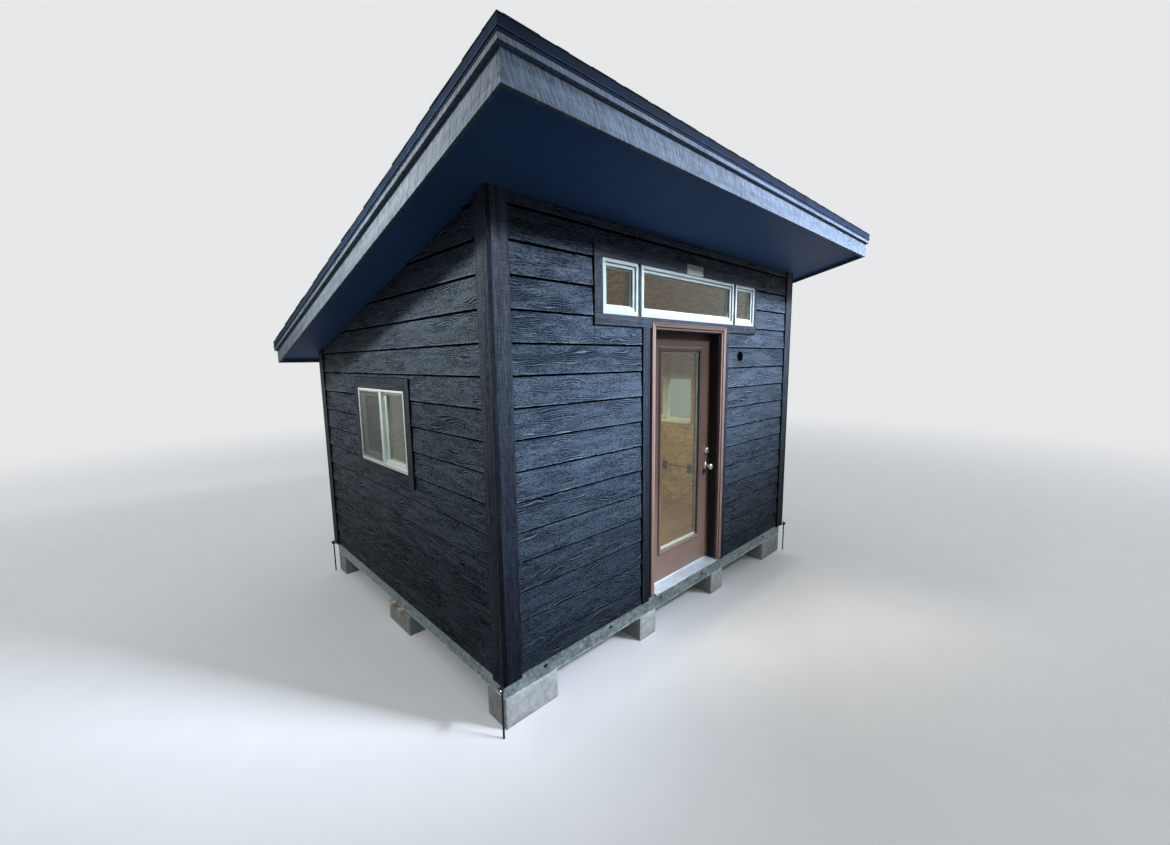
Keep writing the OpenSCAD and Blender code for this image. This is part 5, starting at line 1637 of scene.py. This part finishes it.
class POD_OT_base(Operator):
    """Makes the blocks, shims, rails, floor and anchors"""
    bl_idname = "pod.base"
    bl_label = "Base"

    def execute(self, context):
        sizes = context.scene.pod_base
        worn_blocks("concrete_blocks", "worn_blocks", sizes.block_wear, 3.0)
        softened("block_shims", "wooden_shims", "sawn_pine", 0.001, seed=61)
        self.rails()
        dress("floor_joists", "galvanised_steel")
        dress("floor_deck", "plywood_deck")
        dress("anchor_rods", "black_painted_steel")
        dress("anchor_clamps", "weathered_clamp_steel")
        self.nuts()
        return {"FINISHED"}

    def rails(self):
        """The steel rails, with oval slots in the long ones."""
        low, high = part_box("base_rails")
        made = piece("steel_rails", cad_copy("base_rails"), "galvanised_steel", "pod",
                     ["base_rails"])
        cutter = bmesh.new()
        straight, radius, reach = 0.008, 0.010, 0.006
        pitch, shift, height = 0.592, 0.049, 0.066
        oval = [(straight * (1 if math.cos(t) > 0 else -1) + radius * math.cos(t),
                 radius * math.sin(t))
                for t in (math.pi * (i + 0.5) / 12 for i in range(24))]
        for k in range(-3, 3):
            at = (k + 0.5) * pitch - shift
            for y in (low.y, high.y):
                lofted(cutter, [[Vector((at + u, y + d, low.z + height + z)) for u, z in oval]
                                for d in (-reach, reach)], ring=False)
        cut_out(made, cutter)

    def nuts(self):
        """Nuts and bolt ends on the outer side of each anchor clamp."""
        below_top, out, apart = 0.0065, 0.0143, 0.0088
        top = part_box("anchor_clamps")[1].z - below_top
        nut = [(0, 0), (0.0044, 0), (0.0048, 0.0005), (0.0048, 0.0035), (0.0042, 0.004),
               (0, 0.004)]
        bolt = [(0, 0.004), (0.0024, 0.004), (0.0024, 0.0085), (0.0018, 0.009), (0, 0.009)]
        bm = bmesh.new()
        for low, high in cad_boxes("anchor_rods"):
            rod = (low + high) / 2
            way = 1 if rod.x > 0 else -1
            for side in (-apart, apart):
                at = (rod.x + way * out, rod.y + side, top)
                turned(bm, at, (way, 0, 0), nut, 6)
                turned(bm, at, (way, 0, 0), bolt, 12)
        piece("clamp_nuts", bm, "zinc_plated_steel", "pod")


class POD_OT_shell(Operator):
    """Finishes the walls inside, the ceiling and the wall port"""
    bl_idname = "pod.shell"
    bl_label = "Inner walls"

    def execute(self, context):
        for node in ("front_wall_left", "front_wall_right", "front_wall_head", "left_wall",
                     "right_wall", "back_wall", "ceiling_panel"):
            dress(node, "strand_board_wall")
        dress("wall_port", "moulded_black_plastic")
        self.inner_details()
        return {"FINISHED"}

    def inner_details(self):
        """Two outlet boxes and their cable on the right wall, and the window boards."""
        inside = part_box("right_wall")[0].x
        # along the wall, in from it (a hair of each is in the lining) and up
        first = (-0.305, -0.001, 0.717), (-0.250, 0.022, 0.827)
        second = (0.073, -0.001, 0.722), (0.128, 0.022, 0.832)
        cable = (-0.2495, -0.001, 0.782), (0.0725, 0.009, 0.790)
        bm = bmesh.new()
        for low, high in (first, second, cable):
            box(bm, lambda u, d, z: Vector((inside - d, u, z)), low, high)
        ease_edges(bm, 0.003)
        piece("outlet_boxes", bm, "moulded_black_plastic", "pod")
        bm = bmesh.new()
        low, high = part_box("window_frames")
        for way in (-1, 1):
            box(bm, lambda u, d, z: Vector((way * d, u, z)),
                (low.y + 0.001, inside - 0.03, low.z + 0.0005),
                (high.y - 0.001, high.x - 0.0705, low.z + 0.0195))
        lay_grain(bm, 62)
        ease_edges(bm, 0.002)
        piece("window_boards", bm, "sawn_pine", "pod")


class POD_OT_plate(Operator):
    """Puts the blank plate on the trim over the transoms"""
    bl_idname = "pod.plate"
    bl_label = "Blank plate"

    def execute(self, context):
        low, high = (-0.09, -0.0035, 2.780), (0.132, -0.0002, 2.855)
        bm = bmesh.new()
        box(bm, front, low, high)
        ease_edges(bm, 0.0012)
        piece("blank_plate", bm, "blank_pale_plate", "pod")
        return {"FINISHED"}


# Stage

BACKDROP = "#e6e8e9"
FLOOR_RADIUS = 60
# Distances from the pod's middle between which the floor fades into the backdrop
FADE_START, FADE_END = 5.0, 16.0
# Width of the photograph and the camera's focal length, both in its pixels
PHOTO_WIDTH, FOCAL_LENGTH = 1170, 463.34
EYE = (-3.1820, -3.4728, 2.1347)
# Each lamp's name, place, aim, width, height, spread in degrees, watts and tint
LAMPS = (
    ("front_panel", (3.6, -6.6, 6.2), (0.5, -1.4, 2.3), 4.4, 0.9, 28, 120.0, "#e2ebff"),
    ("room_panel", (0.2, 0.1, 2.3), (0.2, 0.1, 0.0), 1.2, 1.2, 150, 26.0, "#fff0cc"),
    ("side_panel", (-5.1, 0.6, 5.6), (-1.8, 0.2, 3.1), 3.6, 0.7, 32, 60.0, "#fff4e6"))


def rays_that_show(tree):
    """1 for the rays that see the backdrop: from the camera, in metal and through glass."""
    path = add(tree, "ShaderNodeLightPath")
    mirrored = add(tree, "ShaderNodeMath", {
        0: path.outputs["Is Glossy Ray"], 1: path.outputs["Is Transmission Ray"]},
        operation="MAXIMUM")
    return add(tree, "ShaderNodeMath", {0: mirrored, 1: path.outputs["Is Camera Ray"]},
               operation="MAXIMUM")


class POD_OT_stage(Operator):
    """Sets the floor, the light and the camera"""
    bl_idname = "pod.stage"
    bl_label = "Stage"

    def execute(self, context):
        scene = context.scene
        # pale concrete screed with a faint speckle; round the pod it glows a little in
        # reflections and to the camera, so that no hard shadow lies on it; the glow fades out
        # under the pod, which deepens its shadow there with painted shade, and to light that
        # bounces off it the floor is dark grey
        made, tree = new_material("pale_studio_floor")
        place = add(tree, "ShaderNodeTexCoord").outputs["Object"]
        speckle = add(tree, "ShaderNodeTexNoise", {"Vector": place, "Scale": 3.0, "Detail": 6.0})
        pale = add(tree, "ShaderNodeMix", {
            0: speckle, 6: linear("#dcdddb"), 7: linear("#e4e5e2")}, data_type="RGBA")
        seen = rays_that_show(tree)
        matt = add(tree, "ShaderNodeMix", {0: seen, 6: linear("#4a4a4a"), 7: pale.outputs[2]},
                   data_type="RGBA")
        apart = [add(tree, "ShaderNodeMath", {0: add(tree, "ShaderNodeMath", {
            0: axis}, operation="ABSOLUTE"), 1: half}, operation="SUBTRACT")
            for axis, half in zip(add(tree, "ShaderNodeSeparateXYZ", {0: place}).outputs,
                                  (SHEATH_X, SHEATH_BACK))]
        clear = add(tree, "ShaderNodeMapRange", {
            "Value": add(tree, "ShaderNodeMath", {0: apart[0], 1: apart[1]},
                         operation="MAXIMUM"), "From Min": -0.5, "From Max": 0.05})
        lift = add(tree, "ShaderNodeMath", {
            0: add(tree, "ShaderNodeMath", {0: seen, 1: 0.2}, operation="MULTIPLY"),
            1: clear}, operation="MULTIPLY")
        near = add(tree, "ShaderNodeAddShader", {
            0: add(tree, "ShaderNodeBsdfDiffuse", {"Color": matt.outputs[2]}),
            1: add(tree, "ShaderNodeEmission", {"Color": linear("#f4f5f4"),
                                                "Strength": lift})})
        far = add(tree, "ShaderNodeEmission", {"Color": linear(BACKDROP)})
        away = add(tree, "ShaderNodeVectorMath", {0: place}, operation="LENGTH").outputs[1]
        fade = add(tree, "ShaderNodeMapRange", {
            "Value": away, "From Min": FADE_START, "From Max": FADE_END},
            interpolation_type="SMOOTHSTEP")
        faded = add(tree, "ShaderNodeMath", {0: fade, 1: seen}, operation="MULTIPLY")
        body = add(tree, "ShaderNodeMixShader", {0: faded, 1: near, 2: far})
        add(tree, "ShaderNodeOutputMaterial", {"Surface": body})
        bm = bmesh.new()
        bmesh.ops.create_circle(bm, cap_ends=True, segments=96, radius=FLOOR_RADIUS)
        mesh = mesh_of(bm, "studio_floor")
        mesh.materials.append(made)
        floor = bpy.data.objects.new("studio_floor", mesh)
        scene.collection.objects.link(floor)
        self.light(scene)
        self.camera(scene)
        return {"FINISHED"}

    def light(self, scene):
        """A dim sky that the camera doesn't see, and the lamps."""
        world = bpy.data.worlds.new("studio")
        scene.world = world
        world.use_nodes = True
        tree = world.node_tree
        tree.nodes.clear()
        seen = rays_that_show(tree)
        height = add(tree, "ShaderNodeSeparateXYZ", {
            0: add(tree, "ShaderNodeTexCoord").outputs["Generated"]}).outputs[2]
        sky = add(tree, "ShaderNodeMapRange", {
            "Value": height, "From Min": 0.0, "From Max": 0.8, "To Min": 0.15,
            "To Max": 0.76})
        lit = add(tree, "ShaderNodeBackground", {"Color": linear("#e3e9f1"), "Strength": sky})
        shown = add(tree, "ShaderNodeBackground", {"Color": linear(BACKDROP)})
        either = add(tree, "ShaderNodeMixShader", {0: seen, 1: lit, 2: shown})
        add(tree, "ShaderNodeOutputWorld", {"Surface": either})
        for name, place, aim, wide, tall, spread, power, tint in LAMPS:
            data = bpy.data.lights.new(name, "AREA")
            data.shape = "RECTANGLE"
            data.size, data.size_y = wide, tall
            data.energy = power
            data.color = linear(tint)[:3]
            data.spread = math.radians(spread)
            lamp = bpy.data.objects.new(name, data)
            scene.collection.objects.link(lamp)
            lamp.location = place
            lamp.visible_camera = lamp.visible_transmission = False
            lamp.rotation_euler = (Vector(aim) - Vector(place)).to_track_quat(
                "-Z", "Y").to_euler()

    def camera(self, scene):
        """The photograph's viewing place and angle."""
        yaw, pitch, roll = 0.7672, 0.132, -0.013
        ahead = Vector((math.sin(yaw), math.cos(yaw), 0))
        across = Vector((math.cos(yaw), -math.sin(yaw), 0))
        forward = ahead * math.cos(pitch) - Vector((0, 0, math.sin(pitch)))
        above = ahead * math.sin(pitch) + Vector((0, 0, math.cos(pitch)))
        right_way = across * math.cos(roll) + above * math.sin(roll)
        up = above * math.cos(roll) - across * math.sin(roll)
        data = bpy.data.cameras.new("view")
        data.sensor_width = 36.0
        data.sensor_fit = "HORIZONTAL"
        data.lens = FOCAL_LENGTH / PHOTO_WIDTH * data.sensor_width
        data.clip_start = 0.05
        eye = bpy.data.objects.new("view", data)
        scene.collection.objects.link(eye)
        turn = Matrix((right_way, up, -forward)).transposed().to_4x4()
        eye.matrix_world = Matrix.Translation(EYE) @ turn
        scene.camera = eye


class POD_PT_panel(Panel):
    """Lists the sizes, the finishes and the pieces"""
    bl_label = "Garden Office Pod"
    bl_idname = "POD_PT_panel"
    bl_space_type = "VIEW_3D"
    bl_region_type = "UI"
    bl_category = "Pod"

    def draw(self, context):
        for label, group in GROUPS.items():
            rows = self.layout.box()
            rows.label(text=group.__doc__)
            held = getattr(context.scene, label)
            for name in group.__annotations__:
                rows.prop(held, name)
        for maker in OPERATORS:
            self.layout.operator(maker.bl_idname)


GROUPS = {"pod_siding": PodSiding, "pod_roof": PodRoof, "pod_door": PodDoor,
          "pod_base": PodBase, "pod_finish": PodFinish}
OPERATORS = [POD_OT_siding, POD_OT_trim, POD_OT_roof, POD_OT_windows, POD_OT_door_frame,
             POD_OT_door, POD_OT_hardware, POD_OT_base, POD_OT_shell, POD_OT_plate,
             POD_OT_stage]


def register():
    for kind in (*GROUPS.values(), *OPERATORS, POD_PT_panel):
        bpy.utils.register_class(kind)
    for label, group in GROUPS.items():
        setattr(bpy.types.Scene, label, PointerProperty(type=group))


def unregister():
    for label in GROUPS:
        delattr(bpy.types.Scene, label)
    for kind in (POD_PT_panel, *reversed(OPERATORS), *GROUPS.values()):
        bpy.utils.unregister_class(kind)


def main():
    register()
    bpy.context.scene.view_settings.view_transform = "Standard"
    for maker in OPERATORS:
        group, name = maker.bl_idname.split(".")
        getattr(getattr(bpy.ops, group), name)()


if __name__ == "__main__":
    main()
